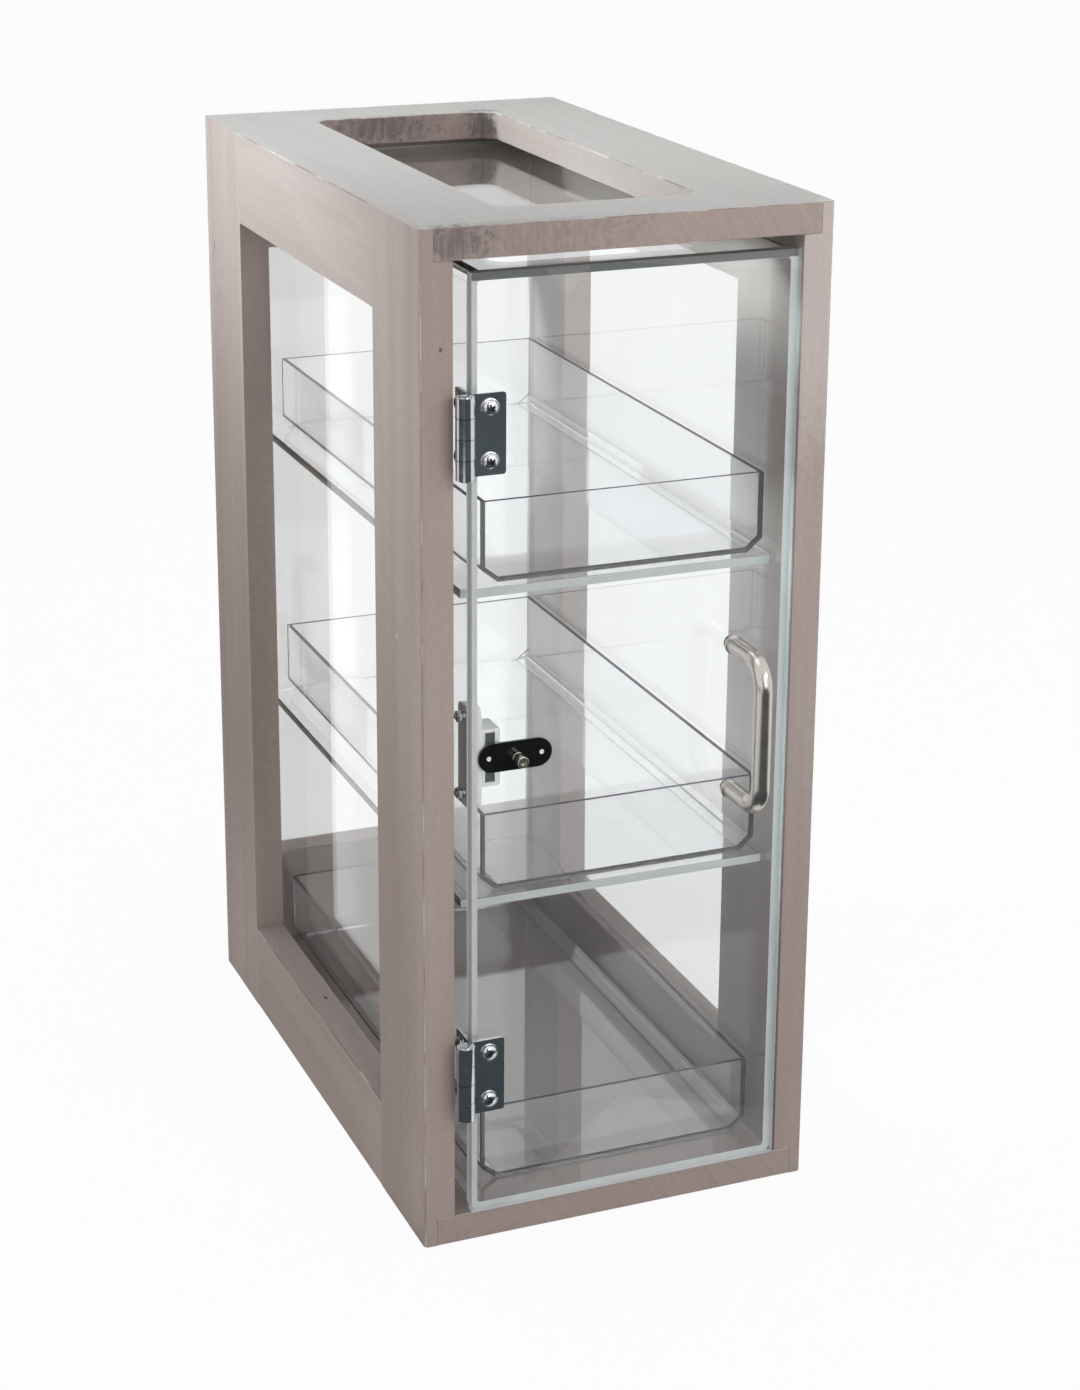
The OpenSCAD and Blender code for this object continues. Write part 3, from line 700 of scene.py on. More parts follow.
def make_finishes(scene):
    """Makes each finish once."""
    wood, clear, metal = scene.bin_wood, scene.bin_clear, scene.bin_metal
    FINISHES.update(
        upright_wood=wood_finish("upright_wood", 2, wood, UPRIGHT_MARKS_AND_PAINTED_LIGHT),
        long_wood=wood_finish("long_wood", 1, wood),
        board_wood=wood_finish("board_wood", 1, wood, BOARD_MARKS),
        cross_wood=wood_finish("cross_wood", 0, wood),
        worn_edge=wood_edge_finish(wood),
        seam=seam_finish(wood),
        dowel=dowel_finish(),
        clear=clear_finish("clear_sheet", clear.face[:]),
        clear_edge=clear_edge_finish("clear_cut_edge", clear.edge[:], 0.25, 0.35),
        # Painted shade: a dark copy of the cut-edge finish, for the top front edge of the case and the top
        # edge of the door.
        dark_edge=clear_edge_finish("clear_dark_edge", (0.13, 0.14, 0.14), 0.25, 0.15),
        tray=clear_finish("tray_sheet", clear.tray[:]),
        tray_edge=clear_edge_finish("tray_cut_edge", clear.tray_edge[:], 0.5, 0.1),
        chrome=metal_finish("hinge_chrome", metal.chrome[:], 0.07),
        screw_chrome=metal_finish("screw_chrome", [c * 1.1 for c in metal.chrome], 0.12, 0.08),
        satin=metal_finish("satin_steel", metal.satin[:], 0.22, 0.03, brushed=2, bump=0.004),
        black=metal_finish("black_plate", metal.black[:], 0.30, 0.08, metallic=0.5),
        magnet=metal_finish("magnet_block", (0.05, 0.05, 0.055), 0.5, 0.1, metallic=0.3),
        pole=metal_finish("pole_steel", (0.66, 0.70, 0.74), 0.35, 0.1),
        # Painted shade: the screws' cross recesses are dark grey for the shade inside them.
        recess=metal_finish("screw_recess_painted_shade", (0.16, 0.16, 0.16), 0.4, 0.1),
        post=metal_finish("post_steel", (0.66, 0.62, 0.53), 0.14, 0.08),
        plastic=plastic_finish("catch_plastic", metal.plastic[:]),
    )


# ---------- wooden frame ----------


def dress_wood(piece, grain):
    """Gives a board its grain, and the finishes of its worn edges, which also paint a highlight on its
    rounded corners, and its seams.
    """
    dress(piece, FINISHES[grain], FINISHES["worn_edge"], FINISHES["seam"])


def plank_pattern(piece, number):
    """Gives each board its own stretch of grain."""
    values = piece.data.attributes.new("plank", "FLOAT", "POINT")
    values.data.foreach_set("value", [float(number)] * len(piece.data.vertices))


def dowel_holes(low, high):
    """Cutters for the dowel holes that reach into a stile or a rail."""
    wood = bpy.context.scene.bin_wood
    dowels = BOX["frame_dowels"]
    side = -1 if low.x < 0 else 1
    across = side * (abs(dowels[1].x) - wood.dowel_d / 2)
    rail_end = BOX["left_top_rail"][1].y
    reach = dowels[1].y - rail_end
    board = BOX["bottom_board"][1].z
    rail = BOX["left_bottom_rail"][1].z
    top = BOX["left_front_stile"][1].z
    edge = BOX["frame_dowels"][0].z + wood.dowel_d / 2 - board
    heights = [board + edge, rail - edge, top - rail + edge, top - board - edge]
    made = []
    for z in heights:
        for end in (-rail_end, rail_end):
            if low.y - MM < end < high.y + MM and low.z < z < high.z:
                start = (across, end - reach, z)
                made.append(rod("dowel_hole", start, Y, wood.dowel_d / 2, 2 * reach, 20))
    return made


def frame_board(node, number, upright):
    """A stile or a rail, rabbeted for the boards, with dowel holes and eased edges."""
    wood = bpy.context.scene.bin_wood
    low, high = BOX[node]
    piece = block(node + "_wood", low, high)
    dress_wood(piece, "upright_wood" if upright else "long_wood")
    for board in ("top_board", "bottom_board"):
        b_low, b_high = (v.copy() for v in BOX[board])
        b_low.y, b_high.y = b_low.y - MM, b_high.y + MM
        if board == "top_board":
            b_high.z += MM
        else:
            b_low.z -= MM
        if low.z < b_high.z and high.z > b_low.z:
            carve(piece, block("rabbet", b_low, b_high))
    carve(piece, *dowel_holes(low, high))
    outer = max(abs(low.x), abs(high.x))
    depth = BOX["left_back_stile"][1].y
    if upright:
        round_edges(piece, wood.corner_r, 7,
                    lambda m, d: abs(d.z) > 0.9 and near(abs(m.x), outer) and near(abs(m.y), depth))
        # Painted highlight: the middle strip of each rounded outer corner takes the worn-edge finish as a
        # thin pale line.
        paint_faces(piece, 1, lambda m, n: near(abs(n.x), abs(n.y), 0.1) and abs(n.z) < 0.1)
    inner = min(abs(low.x), abs(high.x))
    top = BOX["left_front_stile"][1].z
    rail_end = BOX["left_top_rail"][1].y
    window_low, window_high = BOX["left_bottom_rail"][1].z, BOX["left_top_rail"][0].z

    def free(m, d):
        """An edge that shows and meets no other board."""
        if upright:
            return abs(d.z) > 0.9 and near(abs(m.y), rail_end) or (
                near(m.z, 0) or near(m.z, top)) and near(abs(m.x), outer)
        return abs(d.y) > 0.9 and (
            near(m.z, window_low) or near(m.z, window_high) or near(abs(m.x), outer))

    round_edges(piece, wood.edge_r, 2, free, 1)

    def joint(m, d):
        """An edge that meets another board."""
        return near(abs(m.y), depth) and abs(d.z) < 0.1 and abs(m.x) < outer - MM or (
            near(abs(m.y), depth) and abs(d.z) > 0.9 and near(abs(m.x), inner))

    if upright:
        round_edges(piece, wood.seam_w, 1, joint, 2)
    plank_pattern(piece, number)
    fit(piece, "cabinet", "grey_wood", node)


class BIN_OT_side_frames(bpy.types.Operator):
    """Build the stiles and rails of the two side frames"""

    bl_idname = "bread_bin.side_frames"
    bl_label = "Side frames"

    def execute(self, context):
        number = 1
        for side in SIDES:
            for part in ("front_stile", "back_stile", "top_rail", "bottom_rail"):
                frame_board(f"{side}_{part}", number, part.endswith("stile"))
                number += 1
        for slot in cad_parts["frame_dowels"].material_slots:
            slot.material = FINISHES["dowel"]
        return {"FINISHED"}


class BIN_OT_boards(bpy.types.Operator):
    """Build the top board with its window, and the bottom board"""

    bl_idname = "bread_bin.boards"
    bl_label = "Top and bottom boards"

    def execute(self, context):
        wood = context.scene.bin_wood
        for number, node in ((11, "top_board"), (12, "bottom_board")):
            low, high = BOX[node]
            piece = block(node + "_wood", low, high)
            dress_wood(piece, "board_wood")
            if node == "top_board":
                w_low, w_high = WINDOW
                cutter = block("window", (*w_low, low.z - MM), (*w_high, high.z + MM))
                round_edges(cutter, wood.window_r, 10, along(2))
                carve(piece, cutter)
                round_edges(piece, wood.edge_r, 2, lambda m, d: abs(d.z) < 0.1 and inside_window(m), 1)
            round_edges(piece, wood.edge_r * 0.8, 2,
                        lambda m, d: abs(d.x) > 0.9 and near(abs(m.y), abs(low.y)), 1)
            round_edges(piece, wood.seam_w, 1,
                        lambda m, d: abs(d.z) > 0.9 and near(abs(m.y), abs(low.y), MM), 2)
            plank_pattern(piece, number)
            fit(piece, "cabinet", "grey_wood", node)
        return {"FINISHED"}


class BIN_OT_back_rails(bpy.types.Operator):
    """Build the two rails across the back"""

    bl_idname = "bread_bin.back_rails"
    bl_label = "Back rails"

    def execute(self, context):
        wood = context.scene.bin_wood
        for number, node in ((13, "back_top_rail"), (14, "back_bottom_rail")):
            piece = block(node + "_wood", *BOX[node])
            dress_wood(piece, "cross_wood")
            round_edges(piece, wood.edge_r, 2, along(0), 1)
            plank_pattern(piece, number)
            fit(piece, "cabinet", "grey_wood", node)
        return {"FINISHED"}


def inside_window(point):
    """Whether a point lies on the window's rim or inside it."""
    (x0, y0), (x1, y1) = WINDOW
    return x0 - 0.1 * MM < point.x < x1 + 0.1 * MM and y0 - 0.1 * MM < point.y < y1 + 0.1 * MM


# ---------- clear case ----------


def sheet(name, low, high, holes=(), edge_test=None, finishes=("clear", "clear_edge"), inset=None):
    """A flat clear sheet with drilled holes, eased and with its cut edges named by a test."""
    clear = bpy.context.scene.bin_clear
    inset = clear.air if inset is None else inset
    gap = Vector((inset,) * 3)
    piece = block(name, Vector(low) + gap, Vector(high) - gap)
    dress(piece, *(FINISHES[f] for f in finishes))
    if edge_test:
        paint_faces(piece, 1, edge_test)
    carve(piece, *holes)
    ease(piece, clear.edge_r)
    return piece


class BIN_OT_case(bpy.types.Operator):
    """Build the bent wrap of the clear case and its back"""

    bl_idname = "bread_bin.case"
    bl_label = "Clear case"

    def execute(self, context):
        clear = context.scene.bin_clear
        low, high = BOX["case_wrap"]
        piece = block("case_wrap_sheet", low, high)
        dress(piece, FINISHES["clear"], FINISHES["clear_edge"], FINISHES["dark_edge"])
        round_edges(piece, clear.bend_r, 8, along(1))
        wall = Vector((clear.sheet_t, -MM, clear.sheet_t))
        hollow = block("hollow", low + wall, high - wall)
        round_edges(hollow, clear.bend_r - clear.sheet_t, 8, along(1))
        carve(piece, hollow)
        pick(piece)
        edit_all("EDGE")
        bpy.ops.mesh.bisect(plane_co=(0, 0, high.z - clear.sheet_t), plane_no=(0, 0, 1))
        object_mode()
        paint_faces(piece, 1, lambda m, n: abs(n.y) > 0.9)
        for node, heights, radius in (
            ("hinge_case_screws", SCREW_HEIGHTS, None),
            ("catch_screws", CATCH_SCREW_HEIGHTS, CATCH_HOLE_R),
        ):
            for z in heights:
                carve(piece, through((low.x, middle(node, 1), z), X, clear.sheet_t, radius))
        ease(piece, clear.edge_r, 2, 40)
        # Painted shade: the front cut edge of the case's top takes the dark edge finish.
        paint_faces(piece, 2, lambda m, n: n.y < -0.9 and m.z > high.z - clear.sheet_t)
        fit(piece, "cabinet", "clear_acrylic", "case_wrap")
        piece = sheet("case_back_sheet", *BOX["case_back"], edge_test=lambda m, n: abs(n.y) < 0.1)
        fit(piece, "cabinet", "clear_acrylic", "case_back")
        return {"FINISHED"}


class BIN_OT_shelves(bpy.types.Operator):
    """Build the two shelves"""

    bl_idname = "bread_bin.shelves"
    bl_label = "Shelves"

    def execute(self, context):
        for node in ("upper_shelf", "lower_shelf"):
            piece = sheet(node + "_sheet", *BOX[node], edge_test=facing(1, -1))
            fit(piece, "cabinet", "clear_acrylic", node)
        return {"FINISHED"}


# ---------- trays ----------


def tray_form(name, low, high):
    """A closed block with a slope along its two lower sides."""
    clear = bpy.context.scene.bin_clear
    piece = block(name, low, high)
    round_edges(piece, clear.slope_h, 1, lambda m, d: abs(d.y) > 0.9 and near(m.z, low.z))
    choose_faces(piece, facing(2, -1))
    width = high.x - low.x
    factor = (width - 2 * clear.slope_w) / (width - 2 * clear.slope_h)
    bpy.ops.transform.resize(value=(factor, 1, 1), center_override=((low.x + high.x) / 2, 0, low.z))
    object_mode()
    return piece


class BIN_OT_trays(bpy.types.Operator):
    """Build the three trays, each a folded trough between two end plates"""

    bl_idname = "bread_bin.trays"
    bl_label = "Trays"

    def execute(self, context):
        clear = context.scene.bin_clear
        gap = Vector((0, clear.air, 0))
        lift = Vector((0, 0, clear.air))
        low, high = BOX["upper_tray_trough"]
        top = high.z
        trough = tray_form("upper_tray_trough_sheet", low + gap + lift, high - gap)
        dress(trough, FINISHES["tray"], FINISHES["tray_edge"])
        choose_faces(trough, lambda m, n: abs(n.y) > 0.9 or n.z > 0.9)
        bpy.ops.mesh.delete(type="FACE")
        object_mode()
        wall = trough.modifiers.new("Wall", "SOLIDIFY")
        wall.thickness = clear.tray_t
        wall.offset = -1
        wall.use_even_offset = True
        apply_modifier(trough, wall)
        paint_faces(trough, 1, lambda m, n: n.z > 0.9 and near(m.z, top))
        ease(trough, clear.edge_r * 0.8, 2, 20)
        ends = BOX["upper_tray_ends"]
        plate_high = Vector((ends[1].x, ends[0].y + clear.tray_t, ends[1].z))
        front = tray_form("upper_tray_front_plate", ends[0] + lift, plate_high)
        dress(front, FINISHES["tray"], FINISHES["tray_edge"])
        paint_faces(front, 1, facing(2, 1))
        ease(front, clear.edge_r * 0.8, 2, 20)
        back = copy_of(front, "upper_tray_back_plate", (0, ends[1].y - ends[0].y - clear.tray_t, 0))
        models = (
            (trough, "trough_sheet", "trough"),
            (front, "front_plate", "ends"),
            (back, "back_plate", "ends"),
        )
        for tier in TIERS:
            drop = BOX[f"{tier}_tray_ends"][0].z - ends[0].z
            for model, part, node in models:
                piece = model if tier == "upper" else copy_of(model, f"{tier}_tray_{part}", (0, 0, drop))
                fit(piece, f"{tier}_tray", "tray_acrylic", f"{tier}_tray_{node}")
        return {"FINISHED"}


# ---------- door and handle ----------


class BIN_OT_door(bpy.types.Operator):
    """Build the clear door"""

    bl_idname = "bread_bin.door"
    bl_label = "Door"

    def execute(self, context):
        low, high = BOX["door_panel"]
        places = [(middle("hinge_door_screws", 0), z) for z in SCREW_HEIGHTS]
        places += [(middle("handle_collars", 0), z) for z in LEG_HEIGHTS]
        places.append((middle("strike_screw", 0), middle("strike_screw", 2)))
        holes = [through((x, low.y, z), Y, high.y - low.y) for x, z in places]
        piece = sheet("door_sheet", low, high, holes, lambda m, n: abs(n.y) < 0.1, inset=0.0,
                      finishes=("clear", "clear_edge", "dark_edge"))
        # Painted shade: the door's top edge takes the dark edge finish.
        paint_faces(piece, 2, lambda m, n: n.z > 0.9 and m.z > high.z - MM)
        fit(piece, "door", "clear_acrylic", "door_panel")
        return {"FINISHED"}


class BIN_OT_handle(bpy.types.Operator):
    """Build the bent handle, with a groove near each end, and its collars"""

    bl_idname = "bread_bin.handle"
    bl_label = "Handle"

    def execute(self, context):
        metal = context.scene.bin_metal
        low, high = BOX["door_handle"]
        radius, bend = metal.handle_d / 2, metal.handle_bend_r
        x = middle("door_handle", 0)
        y_bend = low.y + radius + bend
        bottom, top = LEG_HEIGHTS
        pick()
        bpy.ops.mesh.primitive_circle_add(
            vertices=32, radius=radius, fill_type="NOTHING", location=(x, high.y, top), rotation=FRONTWARD)
        piece = bpy.context.object
        piece.name = piece.data.name = "handle_rod"
        settle(piece)
        dress(piece, FINISHES["satin"])
        edit_all("EDGE")

        def run(y, z):
            """Draws the rod on by a distance along Y and Z."""
            bpy.ops.mesh.extrude_region_move(TRANSFORM_OT_translate={"value": (0, y, z)})

        def leg(y, z, steps):
            """Draws a stretch of a leg in steps, each a length and the factor for the radius after it."""
            for step, factor in steps:
                run(step, 0)
                y += step
                if factor != 1:
                    bpy.ops.transform.resize(value=(factor, 1, factor), center_override=(x, y, z))
            return y

        def turn(z):
            """Bends the rod by a quarter turn round a middle at a level."""
            bpy.ops.mesh.spin(steps=12, angle=-math.pi / 2, center=(x, y_bend, z), axis=(1, 0, 0))

        tip, slope, floor = 1.3 * MM, 0.15 * MM, 0.5 * MM
        small = (radius - 0.4 * MM) / radius
        y = leg(high.y, top, ((-tip, 1), (-slope, small), (-floor, 1), (-slope, 1 / small)))
        run(y_bend - y, 0)
        turn(top - bend)
        run(0, bottom - top + 2 * bend)
        turn(bottom + bend)
        run(y - y_bend, 0)
        leg(y, bottom, ((slope, small), (floor, 1), (slope, 1 / small), (tip, 1)))
        for step, settings in (
            (bpy.ops.mesh.remove_doubles, {"threshold": 0.005 * MM}),
            (bpy.ops.mesh.fill_holes, {"sides": 0}),
            (bpy.ops.mesh.normals_make_consistent, {"inside": False}),
        ):
            bpy.ops.mesh.select_all(action="SELECT")
            step(**settings)
        object_mode()
        bore_r, bore_h = 2.05 * MM, 11 * MM
        for z in LEG_HEIGHTS:
            carve(piece, rod("bore", (x, high.y - bore_h, z), Y, bore_r, bore_h + MM, 24))
        fit(piece, "door", "satin_steel", "door_handle")
        low, high = BOX["handle_collars"]
        for end, z in zip(ENDS, LEG_HEIGHTS):
            collar = rod(f"{end}_handle_collar", (x, low.y, z), Y, (high.x - low.x) / 2, high.y - low.y)
            dress(collar, FINISHES["satin"])
            carve(collar, rod("bore", (x, low.y - MM, z), Y, 2.1 * MM, 4 * MM, 24))
            ease(collar, 0.3 * MM, 2, 50)
            fit(collar, "door", "satin_steel", "handle_collars")
        return {"FINISHED"}


# ---------- hinges ----------


def hinge_leaf(hinge, kind):
    """A leaf with its knuckles curled round the pin: the door's runs out along X, and the case's along Y."""
    metal = bpy.context.scene.bin_metal
    node = f"{hinge}_hinge_{kind}_leaf"
    door = kind == "door"
    out, thin = (0, 1) if door else (1, 0)
    high = BOX[node][1]
    z0, z1 = hinge_span(hinge)
    pin = [middle(f"{hinge}_hinge_pin", axis) for axis in (0, 1)]
    barrel_r, gap = metal.barrel_d / 2, metal.knuckle_gap
    knuckle_h = (z1 - z0 - (metal.knuckles - 1) * gap) / metal.knuckles
    plate_low, plate_high = Vector((0, 0, z0)), Vector((high.x, high.y, z1))
    plate_low[out] = pin[out] + barrel_r + gap
    plate_low[thin] = high[thin] - metal.leaf_t
    piece = block(f"{node}_metal", plate_low, plate_high)
    dress(piece, FINISHES["chrome"])
    round_edges(piece, metal.leaf_r, 5,
                lambda m, d: abs(d[thin]) > 0.9 and m[out] > plate_high[out] - MM)
    for k in range(1 if door else 0, metal.knuckles, 2):
        top = z1 - k * (knuckle_h + gap)
        neck_low, neck_high = plate_low.copy(), plate_high.copy()
        neck_low[out], neck_low.z = pin[out], top - knuckle_h
        neck_high[out], neck_high.z = plate_low[out] + 2 * MM, top
        fuse(piece, block("neck", neck_low, neck_high),
             rod("knuckle", (*pin, top - knuckle_h), Z, barrel_r, knuckle_h, 48))
    carve(piece, through((*pin, z0), Z, z1 - z0, metal.hinge_pin_d / 2 + 0.05 * MM))
    for s in (-1, 1):
        place = Vector((0, 0, (z0 + z1) / 2 + s * SCREW_PITCH / 2))
        place[out] = middle(f"hinge_{kind}_screws", out)
        place[thin] = plate_low[thin]
        carve(piece, through(place, Y if door else X, metal.leaf_t))
    ease(piece, 0.22 * MM, 2, 40)
    fit(piece, "door" if door else "cabinet", "chrome", node)


class BIN_OT_hinges(bpy.types.Operator):
    """Build the two butt hinges"""

    bl_idname = "bread_bin.hinges"
    bl_label = "Hinges"

    def execute(self, context):
        for hinge in HINGES:
            for kind in ("door", "case"):
                hinge_leaf(hinge, kind)
        return {"FINISHED"}


# ---------- screws, pins, catch and strike ----------


# A pan head with a rim round a dome, from its underside: shares of its height to go up and of its radius
HEAD_CURVE = (
    (0, 0.97), (0.08, 1), (0.14, 1), (0.06, 0.95), (0, 0.84),
    (0.20, 0.82), (0.20, 0.72), (0.15, 0.56), (0.11, 0.34), (0.06, 0.12),
)


def pan_screw(name, shank_d, reach, head_d, head_h):
    """A pan-head screw with a cross recess and a cut thread: head above the origin, shank below."""
    root = shank_d / 2 * 0.84
    pitch = 0.7 * MM
    turns = int((reach - 0.8 * MM) / pitch)
    steps = [(0.5 * MM, root)]
    steps += turns * [(pitch * 0.35, shank_d / 2), (pitch * 0.15, shank_d / 2),
                      (pitch * 0.35, root), (pitch * 0.15, root)]
    steps.append((reach - 0.5 * MM - turns * pitch, root))
    steps += [(head_h * up, head_d / 2 * out) for up, out in HEAD_CURVE]
    piece = turned(name, root * 0.7, steps, 28)
    edit_all("FACE")
    bpy.ops.transform.translate(value=(0, 0, -reach))
    object_mode()
    dress(piece, FINISHES["screw_chrome"], FINISHES["recess"])
    wide, long, deep = head_d * 0.15, head_d * 0.60, head_h * 0.75
    for angle in (20, 110):
        slot = block("slot", (-long / 2, -wide / 2, head_h - deep), (long / 2, wide / 2, head_h + MM))
        choose_faces(slot, facing(2, -1))
        bpy.ops.transform.resize(value=(0.40, 0.70, 1), center_override=(0, 0, head_h - deep))
        object_mode()
        # Painted shade: the faces this slot cuts take the dark recess finish.
        dress_cutter(slot, "screw_chrome", "recess")
        slot.rotation_euler = (0, 0, math.radians(angle))
        settle(slot)
        carve(piece, slot)
    return piece


def place_screws(model, body, slot, node, turn, places):
    """Puts copies of a screw at named places, and takes the model away."""
    for name, place in places:
        fit(copy_of(model, name, place, turn), body, slot, node)
    bpy.data.objects.remove(model)


class BIN_OT_screws(bpy.types.Operator):
    """Build the screws of the hinges, the handle and the catch, the catch's nuts and the hinge pins"""

    bl_idname = "bread_bin.screws"
    bl_label = "Screws, nuts and pins"

    def execute(self, context):
        metal = context.scene.bin_metal
        head_d, thread_d = metal.screw_head_d, metal.screw_d
        door = BOX["door_panel"]
        low, high = BOX["hinge_door_screws"]
        leaf_y = door[0].y - metal.leaf_t
        head_h = leaf_y - low.y
        model = pan_screw("door_hinge_screw_1", thread_d, high.y - low.y - head_h, head_d, head_h)
        x = middle("hinge_door_screws", 0)
        place_screws(model, "door", "chrome", "hinge_door_screws", FRONTWARD, [
            (f"door_hinge_screw_{i + 1}", (x, leaf_y, z)) for i, z in enumerate(SCREW_HEIGHTS)])
        low, high = BOX["hinge_case_screws"]
        model = pan_screw("case_hinge_screw", thread_d, high.x - low.x - head_h, head_d, head_h)
        y = middle("hinge_case_screws", 1)
        place_screws(model, "cabinet", "chrome", "hinge_case_screws", LEFTWARD, [
            (f"case_hinge_screw_{i + 1}", (low.x + head_h, y, z)) for i, z in enumerate(SCREW_HEIGHTS)])
        low, high = BOX["handle_screws"]
        head_h = high.y - door[1].y
        model = pan_screw("handle_screw", thread_d, high.y - low.y - head_h, 7.6 * MM, head_h)
        x = middle("handle_screws", 0)
        place_screws(model, "door", "chrome", "handle_screws", BACKWARD, [
            (f"{end}_handle_screw", (x, door[1].y, z)) for end, z in zip(ENDS, LEG_HEIGHTS)])
        low, high = BOX["catch_screws"]
        head_h = 1.8 * MM
        model = pan_screw("catch_screw", 3 * MM, high.x - low.x - head_h, 5.6 * MM, head_h)
        y = middle("catch_screws", 1)
        place_screws(model, "cabinet", "bright_steel", "catch_screws", RIGHTWARD, [
            (f"{end}_catch_screw", (high.x - head_h, y, z)) for end, z in zip(ENDS, CATCH_SCREW_HEIGHTS)])
        low, high = BOX["catch_nuts"]
        for end, z in zip(ENDS, CATCH_SCREW_HEIGHTS):
            nut = rod(f"{end}_catch_nut", (low.x, y, z), X, NUT_R, high.x - low.x, 6)
            dress(nut, FINISHES["screw_chrome"])
            carve(nut, through((low.x, y, z), X, high.x - low.x, 1.55 * MM))
            ease(nut, 0.25 * MM, 2, 40)
            fit(nut, "cabinet", "bright_steel", "catch_nuts")
        for hinge in HINGES:
            node = f"{hinge}_hinge_pin"
            low, high = BOX[node]
            r, shaft, tall = (high.x - low.x) / 2, metal.hinge_pin_d / 2, high.z - low.z
            pin = turned(node + "_rod", r * 0.6, [
                (0.25 * MM, r), (0.55 * MM, r), (0, shaft), (tall - 1.6 * MM, shaft), (0, r), (0.5 * MM, r),
                (0.2 * MM, r * 0.85), (0.1 * MM, r * 0.5)])
            pin.location = (middle(node, 0), middle(node, 1), low.z)
            settle(pin)
            dress(pin, FINISHES["chrome"])
            fit(pin, "cabinet", "chrome", node)
        return {"FINISHED"}


class BIN_OT_catch(bpy.types.Operator):
    """Build the magnetic catch: its moulded body, magnet and pole plates"""

    bl_idname = "bread_bin.catch"
    bl_label = "Magnetic catch"

    def execute(self, context):
        low, high = (v.copy() for v in BOX["catch_body"])
        y, z = middle("catch_body", 1), middle("catch_body", 2)
        ear_x, housing_half = low.x + 3 * MM, 31 * MM / 2
        low.x += 2 * context.scene.bin_clear.air
        piece = block("catch_body_shell", low, (ear_x, high.y, high.z))
        dress(piece, FINISHES["plastic"])
        round_edges(piece, 4 * MM, 6, along(0))
        housing = block("housing", (low.x, low.y, z - housing_half), (high.x, high.y, z + housing_half))
        round_edges(housing, 1.2 * MM, 4, lambda m, d: m.x > high.x - 0.1 * MM and abs(d.x) < 0.1)
        fuse(piece, housing)
        poles, magnet = BOX["catch_pole_plates"], BOX["catch_magnet"]
        carve(piece, block("pocket", (poles[0].x, low.y - MM, poles[0].z), poles[1]))
        slot_r, slot_shift = CATCH_HOLE_R, 1.16 * MM
        for level in CATCH_SCREW_HEIGHTS:
            slot = block("slot", (low.x - MM, y - slot_r, level - slot_shift),
                         (ear_x + MM, y + slot_r, level + slot_shift))
            fuse(slot, *(through((low.x, y, level + s * slot_shift), X, ear_x - low.x, slot_r)
                         for s in (-1, 1)))
            carve(piece, slot)
        ease(piece, 0.35 * MM, 2, 40)
        fit(piece, "cabinet", "white_plastic", "catch_body")
        piece = block("catch_magnet_block", *magnet)
        dress(piece, FINISHES["magnet"])
        ease(piece, 0.2 * MM)
        fit(piece, "cabinet", "magnet", "catch_magnet")
        pole_t = magnet[0].x - poles[0].x
        for side, x in (("left", poles[0].x), ("right", poles[1].x - pole_t)):
            piece = block(f"catch_{side}_pole_plate", (x, *poles[0].yz), (x + pole_t, *poles[1].yz))
            dress(piece, FINISHES["pole"])
            ease(piece, 0.15 * MM)
            fit(piece, "cabinet", "pole_steel", "catch_pole_plates")
        return {"FINISHED"}


